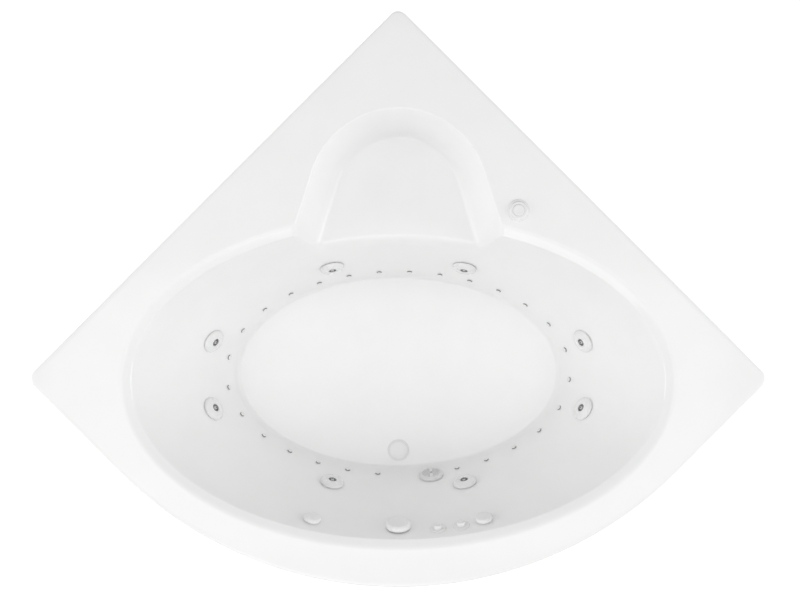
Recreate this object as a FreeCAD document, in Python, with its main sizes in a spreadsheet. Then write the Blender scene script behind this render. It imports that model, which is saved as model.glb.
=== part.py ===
import FreeCAD, Part
import math
import os
import re
import Sketcher

# Corner bathtub, 60 in by 60 in, with water jets, air injectors and a bench seat.
# The plan is a square standing on one corner with its front corner rounded off.
# Origin: middle of the footprint on the floor, +Y to the wall corner, +Z up.

os.makedirs("parts", exist_ok=True)
doc = FreeCAD.newDocument("corner_bathtub")
Vector = FreeCAD.Vector
Rotation = FreeCAD.Rotation
Placement = FreeCAD.Placement

# ---------------------------------------------------------------- driving dimensions
sheet = doc.addObject("Spreadsheet::Sheet", "Sizes")
dimensions = {
    # moulded shell
    "side_length": 1524, "front_radius": 1143, "corner_radius": 30, "tub_height": 584,
    "skin": 6, "lip_height": 38, "front_to_origin": 834.6, "basin_from_origin": 238.8,
    "basin_depth": 440, "band_depth": 15, "band_width": 25,
    "basin_half_length": 776, "basin_half_width": 459,
    "floor_half_length": 526.9, "floor_half_width": 312.4, "floor_fillet": 25,
    "seat_depth": 130, "seat_top_radius": 262.3, "seat_top_centre": 290.7, "seat_top_half_front": 335,
    "seat_low_radius": 194.4, "seat_low_centre": 297.6, "seat_low_half_front": 263,
    "seat_front": 100, "seat_fillet": 25, "seat_overshoot": 0.1,
    "seat_skin_growth": 1.1, "band_skin_growth": 1.2,
    # timber base and stiffeners
    "board_thick": 18, "board_half_length": 860, "board_wing_front": 440, "board_wing_back": 20,
    "board_mid_half_length": 560, "board_mid_front": 500, "board_mid_back": 120,
    "riser_inner_place": 180, "riser_outer_place": 420,
    "riser_inner_half": 250, "riser_outer_half": 155,
    "batten_width": 70, "batten_length": 900, "batten_inset": 25, "batten_shift": 60,
    "corner_block": 140, "corner_block_place": 905,
    # water jets
    "jet_depth": 293, "jet_side_angle": 17.3, "jet_front_angle": 70,
    "jet_seal": 4, "jet_flange_radius": 34, "jet_flange_thick": 3, "jet_barrel_radius": 22,
    "jet_bore_radius": 17, "jet_bore_depth": 50, "jet_throat_radius": 8, "jet_hole_play": 0.8,
    "jet_face_radius": 38, "jet_ring_height": 15, "jet_hub_play": 0.4, "jet_hub_depth": 6,
    "jet_ball_radius": 12.9, "jet_ball_play": 0.3, "jet_ball_centre": 6, "jet_mouth_drop": 0.9,
    "jet_cup_inset": 3.4, "jet_cup_lean": 1, "jet_cup_floor": 3,
    "jet_spout_radius": 4.6, "jet_spout_bore": 2.6, "jet_spout_lean": 0.8, "jet_spout_length": 6.4,
    "ring_edge": 6, "ring_edge_arc": 7, "ring_crown": 1.5, "ring_mouth_arc": 2,
    "jet_nut_thick": 8, "nut_play": 0.6, "face_gap": 0.4, "seat_gap": 0.1, "flange_gap": 0.2,
    "manifold_drop": 33, "manifold_radius": 24, "pipe_wall": 3.5,
    "air_line_rise": 14, "air_line_reach": 45, "air_line_radius": 11, "air_line_wall": 2,
    # air injectors
    "injector_count": 27, "injector_depth": 390, "injector_first": -96.9, "injector_last": -70,
    "injector_cap_radius": 8, "injector_cap_height": 5, "injector_barrel_radius": 5,
    "injector_bore_radius": 3, "injector_seat": 1.2, "injector_slot_width": 2.4,
    "injector_slot_rise": 0.8, "injector_cap_wall": 1, "injector_cap_edge": 3, "injector_cap_arc": 4.5,
    "injector_length": 50,
    "injector_nut_radius": 10, "injector_nut_thick": 5,
    "air_ring_drop": 14, "air_ring_reach": 30,
    "air_ring_radius": 16, "air_ring_wall": 2.5,
    # suction
    "suction_angle": -79.2, "suction_depth": 369, "suction_face_radius": 38.5,
    "suction_flange_radius": 34, "suction_flange_thick": 3, "suction_seal": 2.5,
    "suction_barrel_radius": 27, "suction_bore_radius": 23, "suction_reach": 60,
    "suction_cover_height": 13, "suction_cover_wall": 2.5, "suction_cover_slope": 4,
    "suction_cover_edge": 6, "suction_cover_arc": 9,
    "grille_hole_radius": 1.9, "grille_pitch": 6, "grille_margin": 5,
    "suction_web_thick": 12, "suction_way_radius": 6, "suction_way_ring": 14,
    "screw_radius": 2.5, "screw_play": 0.3, "screw_reach": 4, "screw_head_radius": 5,
    "screw_head_height": 2.4, "screw_head_edge": 1.2, "suction_knee_run": 62, "suction_bend_radius": 90,
    "suction_pipe_radius": 30, "suction_nut_radius": 40, "suction_clearance": 5,
    # pump
    "pump_place": 735, "pump_axis_height": 112, "pump_front": 432, "volute_radius": 78,
    "volute_length": 62, "volute_wall": 6, "volute_edge": 8, "motor_radius": 62, "motor_length": 250,
    "motor_wall": 4, "motor_front_edge": 6, "motor_back_edge": 14, "motor_gap": 6,
    "impeller_radius": 62, "impeller_thick": 16, "impeller_gap": 12, "impeller_nose": 6,
    "impeller_flare": 8, "impeller_rise": 12, "shaft_radius": 7, "shaft_hole_play": 1, "shaft_end_gap": 1,
    "rotor_core_radius": 34, "rotor_core_length": 110, "bearing_outer_radius": 16, "bearing_width": 11,
    "shaft_play": 0.05, "pump_neck_radius": 36, "pump_neck_length": 30,
    "pump_mouth_radius": 24, "pump_knee_run": 60, "bore_overrun": 10,
    "union_radius": 44, "union_length": 26, "discharge_radius": 24, "discharge_bend_radius": 40,
    "heater_radius": 41, "heater_length": 190, "heater_edge": 6, "heater_from_knee": 205,
    "heater_end_side": 150, "heater_end_front": 62, "heater_end_rise": 4,
    "foot_thick": 6, "foot_half_width": 70, "foot_length": 160, "bolt_radius": 4, "bolt_head_radius": 7,
    "bolt_head_height": 5, "bolt_inset": 14, "bolt_half_spacing": 46,
    "foot_setback": 40, "cheek_thick": 10, "cheek_inset": 20,
    # blower
    "blower_place": 735, "blower_radius": 92, "blower_height": 180, "blower_wall": 4,
    "blower_foot_edge": 6, "blower_top_edge": 24, "fan_gap": 8, "fan_vane_count": 12,
    "fan_radius": 76, "fan_thick": 5, "fan_vane_height": 24, "fan_vane_thick": 3,
    "fan_vane_start": 16, "fan_vane_inset": 2, "fan_vane_root": 1, "fan_shaft_radius": 6,
    "fan_hub_radius": 14, "fan_hub_taper": 2, "fan_hub_height": 16,
    "blower_motor_radius": 45, "blower_motor_height": 70, "blower_motor_base": 10,
    "blower_pipe_height": 96, "blower_pipe_radius": 19, "blower_bend_radius": 30,
    # waste and overflow
    "drain_from_origin": 495.7, "drain_flange_radius": 35.4, "drain_flange_thick": 3,
    "drain_shank_radius": 22, "drain_shank_length": 44, "drain_bore_radius": 19, "drain_web_depth": 24,
    "drain_web_thick": 4, "drain_web_hole": 5.5, "drain_web_ring": 12, "drain_bevel": 2,
    "drain_dip": 0.4, "drain_flange_taper": 3, "drain_flange_edge": 0.8, "drain_flange_arc": 4,
    "stem_radius": 4, "stem_play": 0.08,
    "stopper_radius": 31, "stopper_gap": 1.0, "stopper_rim": 2.5, "stopper_height": 6,
    "stopper_edge": 3, "stopper_edge_rise": 2, "stopper_edge_arc": 4, "stopper_crown_arc": 90,
    "stopper_flat_radius": 10, "stopper_stem_length": 34,
    "waste_pipe_height": 72, "waste_pipe_radius": 19.05, "waste_pipe_wall": 2, "waste_from_origin": 744,
    "shoe_radius": 28, "shoe_gasket": 3, "shoe_flange": 6, "shoe_flange_thick": 5, "shank_play": 0.3,
    "shoe_floor_drop": 18, "shoe_floor": 6, "tee_radius": 24, "tee_half_height": 40, "tail_bottom": 4,
    "overflow_depth": 77, "overflow_spout_drop": 5, "overflow_spout_back": 24, "overflow_spout_length": 62,
    "overflow_neck": 24, "overflow_set_height": 236, "overflow_knob_radius": 37, "overflow_knob_height": 16,
    "overflow_knob_stand": 4.5, "overflow_knob_wall": 4, "overflow_knob_edge": 4,
    "overflow_knob_bevel": 1, "overflow_boss_stand": 2, "overflow_hole_radius": 27, "overflow_flange": 4,
    "overflow_cup_radius": 33, "overflow_cup_depth": 44, "overflow_cup_wall": 3, "overflow_seal": 3,
    "spindle_radius": 5, "spindle_play": 0.08, "spindle_boss_radius": 9, "spindle_boss_length": 20,
    "spindle_tail": 6,
    # air controls and switches
    "air_knob_angle": 70, "air_knob_depth": 68, "air_knob_radius": 26, "air_knob_height": 12,
    "air_knob_stand": 3.5, "air_body_radius": 16, "air_body_bore": 11, "air_body_flange": 22,
    "air_body_reach": 48, "air_body_seal": 1.2, "air_knob_hub_radius": 10.6,
    "air_knob_hub_depth": 14, "air_knob_wall": 3, "air_knob_bevel": 0.6, "air_body_flange_thick": 1.6,
    "air_pipe_neck": 26, "air_pipe_bend_radius": 24,
    "switch_one_angle": -81, "switch_two_angle": -75.6, "switch_depth": 61,
    "switch_radius": 12.5, "switch_proud": 15, "switch_play": 0.4, "switch_edge": 1.5,
    "switch_flange_edge": 1, "switch_collar_inset": 2, "switch_floor": 3, "switch_nut_wall": 8,
    "switch_flange_radius": 24, "switch_flange_thick": 2.6, "switch_seal": 0.8,
    "switch_barrel_radius": 16, "switch_barrel_depth": 34, "switch_length": 27,
    "deck_switch_x": 348, "deck_switch_y": 256.6, "deck_switch_radius": 17, "deck_bezel_radius": 27,
    "deck_flange_radius": 32, "deck_flange_thick": 3, "deck_bezel_height": 9, "deck_switch_proud": 11,
    "deck_barrel_radius": 22, "deck_barrel_depth": 42,
    "deck_bezel_edge": 3, "deck_bezel_side": 4, "deck_bezel_arc": 5,
    # control box
    "box_length": 170, "box_width": 80, "box_height": 120, "box_wall": 4, "box_place": 700,
    "box_front": 436, "gland_radius": 10, "gland_length": 18,
    "gland_wall": 4, "gland_nose": 6, "gland_taper": 2,
}
for row, (name, number) in enumerate(dimensions.items(), 1):
    sheet.set(f"A{row}", name)
    sheet.set(f"B{row}", str(number))
    sheet.setAlias(f"B{row}", name)
doc.recompute()


def bound(text):
    """An expression on the sheet, from words that are names of dimensions or sqrt."""
    return re.sub(r"[a-z][a-z0-9_]*",
                  lambda word: word.group() if word.group() == "sqrt" else "Sizes." + word.group(), text)


def size(text):
    """The present value of a dimension or of a sum of dimensions."""
    return float(sheet.evalExpression(bound(text)))


# ---------------------------------------------------------------- ways of making
def turned(label, outline, place=None):
    """A body turned about its own Z axis. Points are (radius, height), and a third
    entry is the radius of the arc that ends there, negative where it turns inwards."""
    body = doc.addObject("PartDesign::Body", label)
    sketch = body.newObject("Sketcher::SketchObject", label + "_outline")
    plane = [item for item in body.Origin.OriginFeatures if item.Role == "XZ_Plane"][0]
    sketch.AttachmentSupport = (plane, [""])
    sketch.MapMode = "FlatFace"
    points = [Vector(size(point[0]), size(point[1]), 0) for point in outline]
    ends = []
    for index, point in enumerate(outline):
        start, end = points[index - 1], points[index]
        if len(point) == 2:
            sketch.addGeometry(Part.LineSegment(start, end), False)
            ends.append((1, 2))
            continue
        radius = size(point[2])
        chord = end - start
        lift = math.sqrt(max(radius ** 2 - (chord.Length / 2) ** 2, 0))
        across = Vector(-chord.y, chord.x, 0).normalize() * math.copysign(lift, radius)
        centre = (start + end) * 0.5 + across
        first, last = (start, end) if radius > 0 else (end, start)
        circle = Part.Circle(centre, Vector(0, 0, 1), abs(radius))
        angles = [math.atan2(item.y - centre.y, item.x - centre.x) for item in (first, last)]
        if angles[1] < angles[0]:
            angles[1] += 2 * math.pi
        sketch.addGeometry(Part.ArcOfCircle(circle, *angles), False)
        ends.append((1, 2) if radius > 0 else (2, 1))
    count = len(outline)
    for index in range(count):
        following = (index + 1) % count
        sketch.addConstraint(
            Sketcher.Constraint("Coincident", index, ends[index][1], following, ends[following][0]))
    for index, point in enumerate(outline):
        for kind, axis, text, value in (("DistanceX", -2, point[0], points[index].x),
                                        ("DistanceY", -1, point[1], points[index].y)):
            if abs(value) < 1e-9:
                sketch.addConstraint(
                    Sketcher.Constraint("PointOnObject", index, ends[index][1], axis))
                continue
            number = sketch.addConstraint(
                Sketcher.Constraint(kind, -1, 1, index, ends[index][1], value))
            sketch.setExpression(f"Constraints[{number}]", bound(text))
        if len(point) == 3:
            number = sketch.addConstraint(Sketcher.Constraint("Radius", index, abs(size(point[2]))))
            sketch.setExpression(f"Constraints[{number}]", f"abs({bound(point[2])})")
    sketch.recompute()
    turning = body.newObject("PartDesign::Revolution", label + "_turning")
    turning.Profile = sketch
    turning.ReferenceAxis = (sketch, ["V_Axis"])
    turning.Angle = 360
    turning.recompute()
    body.Placement = place or Placement()
    body.recompute()
    return body


def block(label, length, width, height, corner):
    """A squared piece with its low corner at a place."""
    piece = doc.addObject("Part::Box", label)
    piece.setExpression("Length", bound(length))
    piece.setExpression("Width", bound(width))
    piece.setExpression("Height", bound(height))
    piece.Placement = Placement(Vector(*[size(item) for item in corner]), Rotation())
    piece.recompute()
    return piece


def rod(label, radius, height, place):
    """A plain round piece along the local Z of its place."""
    piece = doc.addObject("Part::Cylinder", label)
    piece.setExpression("Radius", bound(radius))
    piece.setExpression("Height", bound(height))
    piece.Placement = place
    piece.recompute()
    return piece


def cut(label, base, tool):
    """One piece with another taken away from it."""
    piece = doc.addObject("Part::Cut", label)
    piece.Base = base
    piece.Tool = tool
    piece.Refine = False
    piece.recompute()
    return piece


def kept(label, base, tool):
    """The part of one piece that lies inside another."""
    piece = doc.addObject("Part::Common", label)
    piece.Base = base
    piece.Tool = tool
    piece.Refine = False
    piece.recompute()
    return piece


def joined(label, pieces):
    """Pieces made as one."""
    piece = doc.addObject("Part::MultiFuse", label)
    piece.Shapes = pieces
    piece.Refine = False
    piece.recompute()
    return piece


def grouped(label, pieces):
    """Separate pieces of one kind kept together."""
    piece = doc.addObject("Part::Compound", label)
    piece.Links = pieces
    piece.recompute()
    return piece


def rounded_route(points, closed=False, tightest=None):
    """Straight runs joined by tangent arcs, each as large as its two runs allow."""
    end_share, middle_share = 0.85, 0.45
    count = len(points)
    corners = range(count) if closed else range(1, count - 1)
    cut_back = {}
    for index in corners:
        before = points[index - 1] - points[index]
        after = points[(index + 1) % count] - points[index]
        turn = math.pi - before.getAngle(after)
        last = count - 2
        trim = min(before.Length * (end_share if index == 1 and not closed else middle_share),
                   after.Length * (end_share if index == last and not closed else middle_share))
        if tightest:
            trim = min(trim, tightest * math.tan(turn / 2))
        leave = points[index] + before.normalize() * trim
        arrive = points[index] + after.normalize() * trim
        radius = trim / math.tan(turn / 2)
        inward = (before + after).normalize()
        reach = radius / math.cos(turn / 2) - radius
        cut_back[index] = (leave, points[index] + inward * reach, arrive)
    edges = []
    steps = range(count) if closed else range(count - 1)
    for index in steps:
        following = (index + 1) % count
        start = cut_back[index][2] if index in cut_back else points[index]
        end = cut_back[following][0] if following in cut_back else points[following]
        edges.append(Part.LineSegment(start, end).toShape())
        if following in cut_back:
            edges.append(Part.Arc(*cut_back[following]).toShape())
    return Part.Wire(edges)


def swept(route, radius):
    """A solid round section carried along a route."""
    first = route.Edges[0]
    start = first.valueAt(first.FirstParameter)
    along = first.tangentAt(first.FirstParameter)
    ring = Part.Wire([Part.Circle(start, along, radius).toShape()])
    return Part.Solid(route.makePipeShell([ring], True, False))


def shaped(label, shape):
    """A piece whose form follows a free route."""
    piece = doc.addObject("Part::Feature", label)
    piece.Shape = shape
    return piece


def pipe(label, points, radius, wall, closed=False, tightest=None):
    """A pipe along straight runs and bends."""
    route = rounded_route(points, closed, tightest)
    outside = swept(route, radius)
    inside = swept(route, radius - wall)
    return shaped(label, outside.cut(inside))


# ---------------------------------------------------------------- the basin wall as a surface
def half_sizes(depth):
    """Half length and half width of the basin at a depth below the deck, and their slopes."""
    span = size("basin_depth - band_depth")
    slope_x = size("basin_half_length - floor_half_length") / span
    slope_y = size("basin_half_width - floor_half_width") / span
    below = depth - size("band_depth")
    return (size("basin_half_length") - slope_x * below,
            size("basin_half_width") - slope_y * below, slope_x, slope_y)


def wall_place(angle, depth, lift=0.0):
    """Place on the basin wall: Z into the basin, X level along the wall."""
    half_x, half_y, slope_x, slope_y = half_sizes(depth)
    turn = math.radians(angle)
    east, north = half_x * math.cos(turn), half_y * math.sin(turn)
    point = Vector(east, north - size("basin_from_origin"), size("tub_height") - depth)
    inward = Vector(-east / half_x ** 2, -north / half_y ** 2,
                    east ** 2 * slope_x / half_x ** 3 + north ** 2 * slope_y / half_y ** 3)
    inward.normalize()
    level = Vector(0, 0, 1).cross(inward).normalize()
    return Placement(point + inward * lift, Rotation(level, inward.cross(level), inward, "ZXY"))


def deck_place(east, north):
    """Place on the flat deck, Z up."""
    return Placement(Vector(east, north, size("tub_height")), Rotation())


# ---------------------------------------------------------------- moulded shell
def outline_block(label, inset, thick, low):
    """The square plan on its corner with a rounded front, as a flat block."""
    body = doc.addObject("PartDesign::Body", label)
    sketch = body.newObject("Sketcher::SketchObject", label + "_plan")
    plane = [item for item in body.Origin.OriginFeatures if item.Role == "XY_Plane"][0]
    sketch.AttachmentSupport = (plane, [""])
    sketch.MapMode = "FlatFace"
    near, far = size(inset), size("side_length") - size(inset)
    corners = [Vector(near, near, 0), Vector(far, near, 0), Vector(far, far, 0), Vector(near, far, 0)]
    for index in range(4):
        sketch.addGeometry(Part.LineSegment(corners[index], corners[(index + 1) % 4]), False)
    for index in range(4):
        sketch.addConstraint(Sketcher.Constraint("Coincident", index, 2, (index + 1) % 4, 1))
        kind = "Horizontal" if index % 2 == 0 else "Vertical"
        sketch.addConstraint(Sketcher.Constraint(kind, index))
    for kind in ("DistanceX", "DistanceY"):
        for corner, text, value in ((0, inset, near), (2, "side_length - (" + inset + ")", far)):
            if value == 0:
                sketch.addConstraint(
                    Sketcher.Constraint("PointOnObject", corner, 1, -2 if kind == "DistanceX" else -1))
                continue
            number = sketch.addConstraint(Sketcher.Constraint(kind, -1, 1, corner, 1, value))
            sketch.setExpression(f"Constraints[{number}]", bound(text))
    doc.recompute()
    pad = body.newObject("PartDesign::Pad", label + "_pad")
    pad.Profile = sketch
    pad.setExpression("Length", bound(thick))
    doc.recompute()
    for part, radius, front in (("corners", "corner_radius", False), ("front", "front_radius", True)):
        base = body.Tip
        upright = []
        for number, edge in enumerate(base.Shape.Edges, 1):
            box = edge.BoundBox
            if box.ZLength > size(thick) / 2 and box.XLength < 1 and box.YLength < 1:
                if (edge.CenterOfMass.Length < near * 2 + size(thick)) == front:
                    upright.append((number, edge.CenterOfMass))
        if not front:
            upright = [item for item in upright if item[1].x > near + 1 or item[1].y > near + 1]
        else:
            upright = [item for item in upright if item[1].x < near + 1 and item[1].y < near + 1]
        fillet = body.newObject("PartDesign::Fillet", f"{label}_{part}")
        fillet.Base = (base, [f"Edge{number}" for number, centre in upright])
        fillet.setExpression("Radius", bound(f"{radius} - ({inset})"))
        doc.recompute()
    reach = size("front_radius") * (math.sqrt(2) - 1) + size("front_to_origin")
    body.Placement = Placement(Vector(0, -reach, size(low)), Rotation(45, 0, 0))
    doc.recompute()
    return body


def oval(label, half_length, half_width, height):
    """A level oval about the middle of the basin."""
    piece = doc.addObject("Part::Ellipse", label)
    piece.setExpression("MajorRadius", bound(half_length))
    piece.setExpression("MinorRadius", bound(half_width))
    piece.Placement = Placement(Vector(0, -size("basin_from_origin"), size(height)), Rotation())
    piece.recompute()
    return piece


def arch(label, radius, centre, half_front, height):
    """The round-backed plan of the seat, widening to the front."""
    sketch = doc.addObject("Sketcher::SketchObject", label)
    top, middle, low = size(radius), size(centre), size("seat_front")
    far = Vector(size(half_front), low - middle, 0)
    splay = math.atan2(far.y, far.x) + math.acos(top / far.Length)
    touch = Vector(top * math.cos(splay), middle + top * math.sin(splay), 0)
    foot = Vector(far.x, low, 0)
    mirror = [Vector(-touch.x, touch.y, 0), Vector(-foot.x, foot.y, 0)]
    circle = Part.Circle(Vector(0, middle, 0), Vector(0, 0, 1), top)
    sketch.addGeometry(Part.ArcOfCircle(circle, splay, math.pi - splay), False)
    sketch.addGeometry(Part.LineSegment(mirror[0], mirror[1]), False)
    sketch.addGeometry(Part.LineSegment(mirror[1], foot), False)
    sketch.addGeometry(Part.LineSegment(foot, touch), False)
    constraint = Sketcher.Constraint
    for item in (("Tangent", 0, 2, 1, 1), ("Coincident", 1, 2, 2, 1), ("Coincident", 2, 2, 3, 1),
                 ("Tangent", 3, 2, 0, 1), ("PointOnObject", 0, 3, -2), ("Symmetric", 2, 1, 2, 2, -2)):
        sketch.addConstraint(constraint(*item))
    for text, item in ((radius, ("Radius", 0, top)), (centre, ("DistanceY", -1, 1, 0, 3, middle)),
                       ("seat_front", ("DistanceY", -1, 1, 2, 1, low)),
                       (half_front, ("DistanceX", -1, 1, 2, 2, foot.x))):
        number = sketch.addConstraint(constraint(*item))
        sketch.setExpression(f"Constraints[{number}]", bound(text))
    sketch.Placement = Placement(Vector(0, 0, size(height)), Rotation())
    doc.recompute()
    return sketch


def lofted(label, sections):
    """A straight-sided solid between two outlines."""
    piece = doc.addObject("Part::Loft", label)
    piece.Sections = sections
    piece.Solid = True
    piece.Ruled = True
    doc.recompute()
    return piece


def softened(label, base, height, radius, from_north=-1e6):
    """A solid with its lowest edges rounded."""
    piece = doc.addObject("Part::Fillet", label)
    piece.Base = base
    picked = [number for number, edge in enumerate(base.Shape.Edges, 1)
              if edge.BoundBox.ZMax < size(height) + 1 and edge.BoundBox.YMax > from_north]
    piece.Edges = [(number, size(radius), size(radius)) for number in picked]
    doc.recompute()
    return piece


def thickened(label, base, amount):
    """A form grown evenly outwards."""
    piece = doc.addObject("Part::Offset", label)
    piece.Source = base
    piece.setExpression("Value", bound(amount))
    piece.Join = 2
    doc.recompute()
    return piece


floor_height = "tub_height - basin_depth"
manifold_height = "tub_height - jet_depth - manifold_drop"
air_line_height = "tub_height - jet_depth + air_line_rise"
air_ring_height = "tub_height - injector_depth - air_ring_drop"
band_height = "tub_height - band_depth"
seat_height = "tub_height - seat_depth"
floor_oval = oval("floor_oval", "floor_half_length", "floor_half_width", floor_height)
wall_oval = oval("wall_oval", "basin_half_length", "basin_half_width", band_height)
above_deck = oval("above_deck", "basin_half_length + 2 * band_width",
                  "basin_half_width + 2 * band_width", "tub_height + band_depth")
bowl_space = softened("bowl_space", lofted("bowl_loft", [floor_oval, wall_oval]), floor_height,
                      "floor_fillet")
band_space = lofted("band_space", [wall_oval, above_deck])
seat_rise = {part: f"seat_top_{part} + seat_overshoot * (seat_top_{part} - seat_low_{part})"
             for part in ("radius", "centre", "half_front")}
seat_top = arch("seat_top", seat_rise["radius"], seat_rise["centre"], seat_rise["half_front"],
                "tub_height + seat_overshoot * seat_depth")
seat_low = arch("seat_low", "seat_low_radius", "seat_low_centre", "seat_low_half_front", seat_height)
seat_space = softened("seat_space", lofted("seat_loft", [seat_low, seat_top]), seat_height,
                      "seat_fillet", size("seat_front") + 1)
basin_space = joined("basin_space", [bowl_space, band_space, seat_space])

deck_outside = outline_block("deck_outside", "0", "lip_height", "tub_height - lip_height")
deck_inside = outline_block("deck_inside", "skin", "lip_height - skin", "tub_height - lip_height")
deck = cut("deck", deck_outside, deck_inside)
bowl_outside = thickened("bowl_outside", bowl_space, "skin")
seat_top_outside = arch("seat_top_outside", "seat_top_radius + seat_skin_growth * skin", "seat_top_centre",
                        "seat_top_half_front + seat_skin_growth * skin", "tub_height - skin / 2")
seat_low_outside = arch("seat_low_outside", "seat_low_radius + seat_skin_growth * skin", "seat_low_centre",
                        "seat_low_half_front + seat_skin_growth * skin", seat_height + " - skin")
seat_outside_loft = lofted("seat_outside_loft", [seat_low_outside, seat_top_outside])
seat_outside = softened("seat_outside", seat_outside_loft, seat_height + " - skin",
                        "seat_fillet + skin", size("seat_front") + 1)
band_outside = lofted("band_outside", [
    oval("band_low", "basin_half_length + band_skin_growth * skin",
         "basin_half_width + band_skin_growth * skin", band_height + " - skin"),
    oval("band_high", "basin_half_length + band_width + 2 * skin",
         "basin_half_width + band_width + 2 * skin", "tub_height - skin / 2")])
layers = [cut(f"{layer.Label}_skin", layer, basin_space)
          for layer in (deck, bowl_outside, seat_outside, band_outside)]
moulding = joined("moulding", layers)

# ---------------------------------------------------------------- places of the fittings
side, front = size("jet_side_angle"), size("jet_front_angle")
jet_angles = [-side, side, front, 180 - front, 180 - side, 180 + side, 180 + front, -front]
jet_places = [wall_place(angle, size("jet_depth")) for angle in jet_angles]
suction_place = wall_place(size("suction_angle"), size("suction_depth"))
overflow_place = wall_place(-90, size("overflow_depth"))
air_knob_places = {"left": wall_place(180 + size("air_knob_angle"), size("air_knob_depth")),
                   "right": wall_place(-size("air_knob_angle"), size("air_knob_depth"))}
switch_places = {"wall_button_1": wall_place(size("switch_one_angle"), size("switch_depth")),
                 "wall_button_2": wall_place(size("switch_two_angle"), size("switch_depth"))}
deck_switch_place = deck_place(size("deck_switch_x"), size("deck_switch_y"))
drain_place = Placement(Vector(0, -size("drain_from_origin"), size(floor_height)), Rotation())


def evenly_round():
    """Angles that space the injectors evenly along the wall, the suction side left free."""
    half_x, half_y = half_sizes(size("injector_depth"))[:2]
    start, stop = size("injector_first"), size("injector_last") - 360
    steps = 720
    length = [0.0]
    for step in range(steps):
        middle = math.radians(start + (stop - start) * (step + 0.5) / steps)
        length.append(length[-1] + math.hypot(half_x * math.sin(middle), half_y * math.cos(middle)))
    angles = []
    for index in range(int(size("injector_count"))):
        wanted = length[-1] * index / (size("injector_count") - 1)
        step = max(item for item in range(steps + 1) if length[item] <= wanted + 1e-6)
        angles.append(start + (stop - start) * step / steps)
    return angles


injector_places = [wall_place(angle, size("injector_depth")) for angle in evenly_round()]


def drilled(place, radius, index):
    """The round hole for a fitting, through the skin and square to it."""
    start = place.multiply(Placement(Vector(0, 0, -4 * size("skin")), Rotation()))
    return rod(f"hole_{index}", radius, "8 * skin", start)


holes = [(place, "jet_barrel_radius + jet_hole_play") for place in jet_places]
holes += [(place, "injector_barrel_radius + face_gap") for place in injector_places]
holes += [(suction_place, "suction_barrel_radius + jet_hole_play"),
          (overflow_place, "overflow_hole_radius"),
          (drain_place, "drain_shank_radius + jet_hole_play"),
          (deck_switch_place, "deck_barrel_radius + jet_hole_play")]
holes += [(place, "air_body_radius + jet_hole_play") for place in air_knob_places.values()]
holes += [(place, "switch_barrel_radius + jet_hole_play") for place in switch_places.values()]
drills = grouped("drills", [drilled(*item, index) for index, item in enumerate(holes)])
tub_shell = cut("tub_shell", moulding, drills)
subparts = [tub_shell]

# ---------------------------------------------------------------- timber base and stiffeners
base_board = doc.addObject("PartDesign::Body", "base_board")
board_plan = base_board.newObject("Sketcher::SketchObject", "board_plan")
board_plane = [item for item in base_board.Origin.OriginFeatures if item.Role == "XY_Plane"][0]
board_plan.AttachmentSupport = (board_plane, [""])
board_plan.MapMode = "FlatFace"
board_points = [("board_mid_half_length", "0 - board_mid_front"),
                ("board_half_length", "0 - board_wing_front"),
                ("board_half_length", "0 - board_wing_back"),
                ("board_mid_half_length", "board_mid_back")]
board_points += [("0 - " + east, north) for east, north in reversed(board_points)]
for index, point in enumerate(board_points):
    following = board_points[(index + 1) % len(board_points)]
    board_plan.addGeometry(Part.LineSegment(Vector(size(point[0]), size(point[1]), 0),
                                            Vector(size(following[0]), size(following[1]), 0)), False)
for index, point in enumerate(board_points):
    board_plan.addConstraint(
        Sketcher.Constraint("Coincident", index, 2, (index + 1) % len(board_points), 1))
    for kind, text in (("DistanceX", point[0]), ("DistanceY", point[1])):
        number = board_plan.addConstraint(Sketcher.Constraint(kind, -1, 1, index, 1, size(text)))
        board_plan.setExpression(f"Constraints[{number}]", bound(text))
doc.recompute()
board_pad = base_board.newObject("PartDesign::Pad", "board_pad")
board_pad.Profile = board_plan
board_pad.setExpression("Length", bound("board_thick"))
doc.recompute()
subparts.append(base_board)

riser_height = f"{floor_height} - skin - board_thick"
risers = []
for name, place, half in (("inner", "riser_inner_place", "riser_inner_half"),
                          ("outer", "riser_outer_place", "riser_outer_half")):
    for hand, sign in (("left", "0 - "), ("right", "")):
        corner = (f"{sign}{place} - board_thick / 2", f"0 - basin_from_origin - {half}", "board_thick")
        risers.append(block(f"riser_{name}_{hand}", "board_thick", f"2 * {half}", riser_height, corner))
subparts.append(grouped("cradle_risers", risers))

stiffeners = []
front_cut = size("front_radius") * (math.sqrt(2) - 1)
apex = size("side_length") * math.sqrt(2) - size("front_to_origin") - front_cut
stiffener_low = size("tub_height - skin - board_thick")
for hand, sign in (("left", -1), ("right", 1)):
    batten = block(f"batten_{hand}", "batten_length", "batten_width", "board_thick", ("0", "0", "0"))
    along = Vector(sign, -1, 0).normalize()
    inward = Vector(-sign, -1, 0).normalize()
    start = Vector(0, apex, stiffener_low) + inward * size("skin + batten_inset")
    start = start + along * size("batten_width + batten_shift + batten_inset")
    far_side = start + inward * size("batten_width")
    batten.Placement = Placement(far_side if sign > 0 else start,
                                 Rotation(Vector(0, 0, 1), math.degrees(math.atan2(along.y, along.x))))
    stiffeners.append(batten)
    corner = (("0 - " if sign < 0 else "") + "corner_block_place - corner_block / 2",
              "0 - basin_from_origin - corner_block / 2", "tub_height - skin - board_thick")
    stiffeners.append(block(f"corner_block_{hand}", "corner_block", "corner_block", "board_thick", corner))
subparts.append(grouped("deck_stiffeners", stiffeners))


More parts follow.
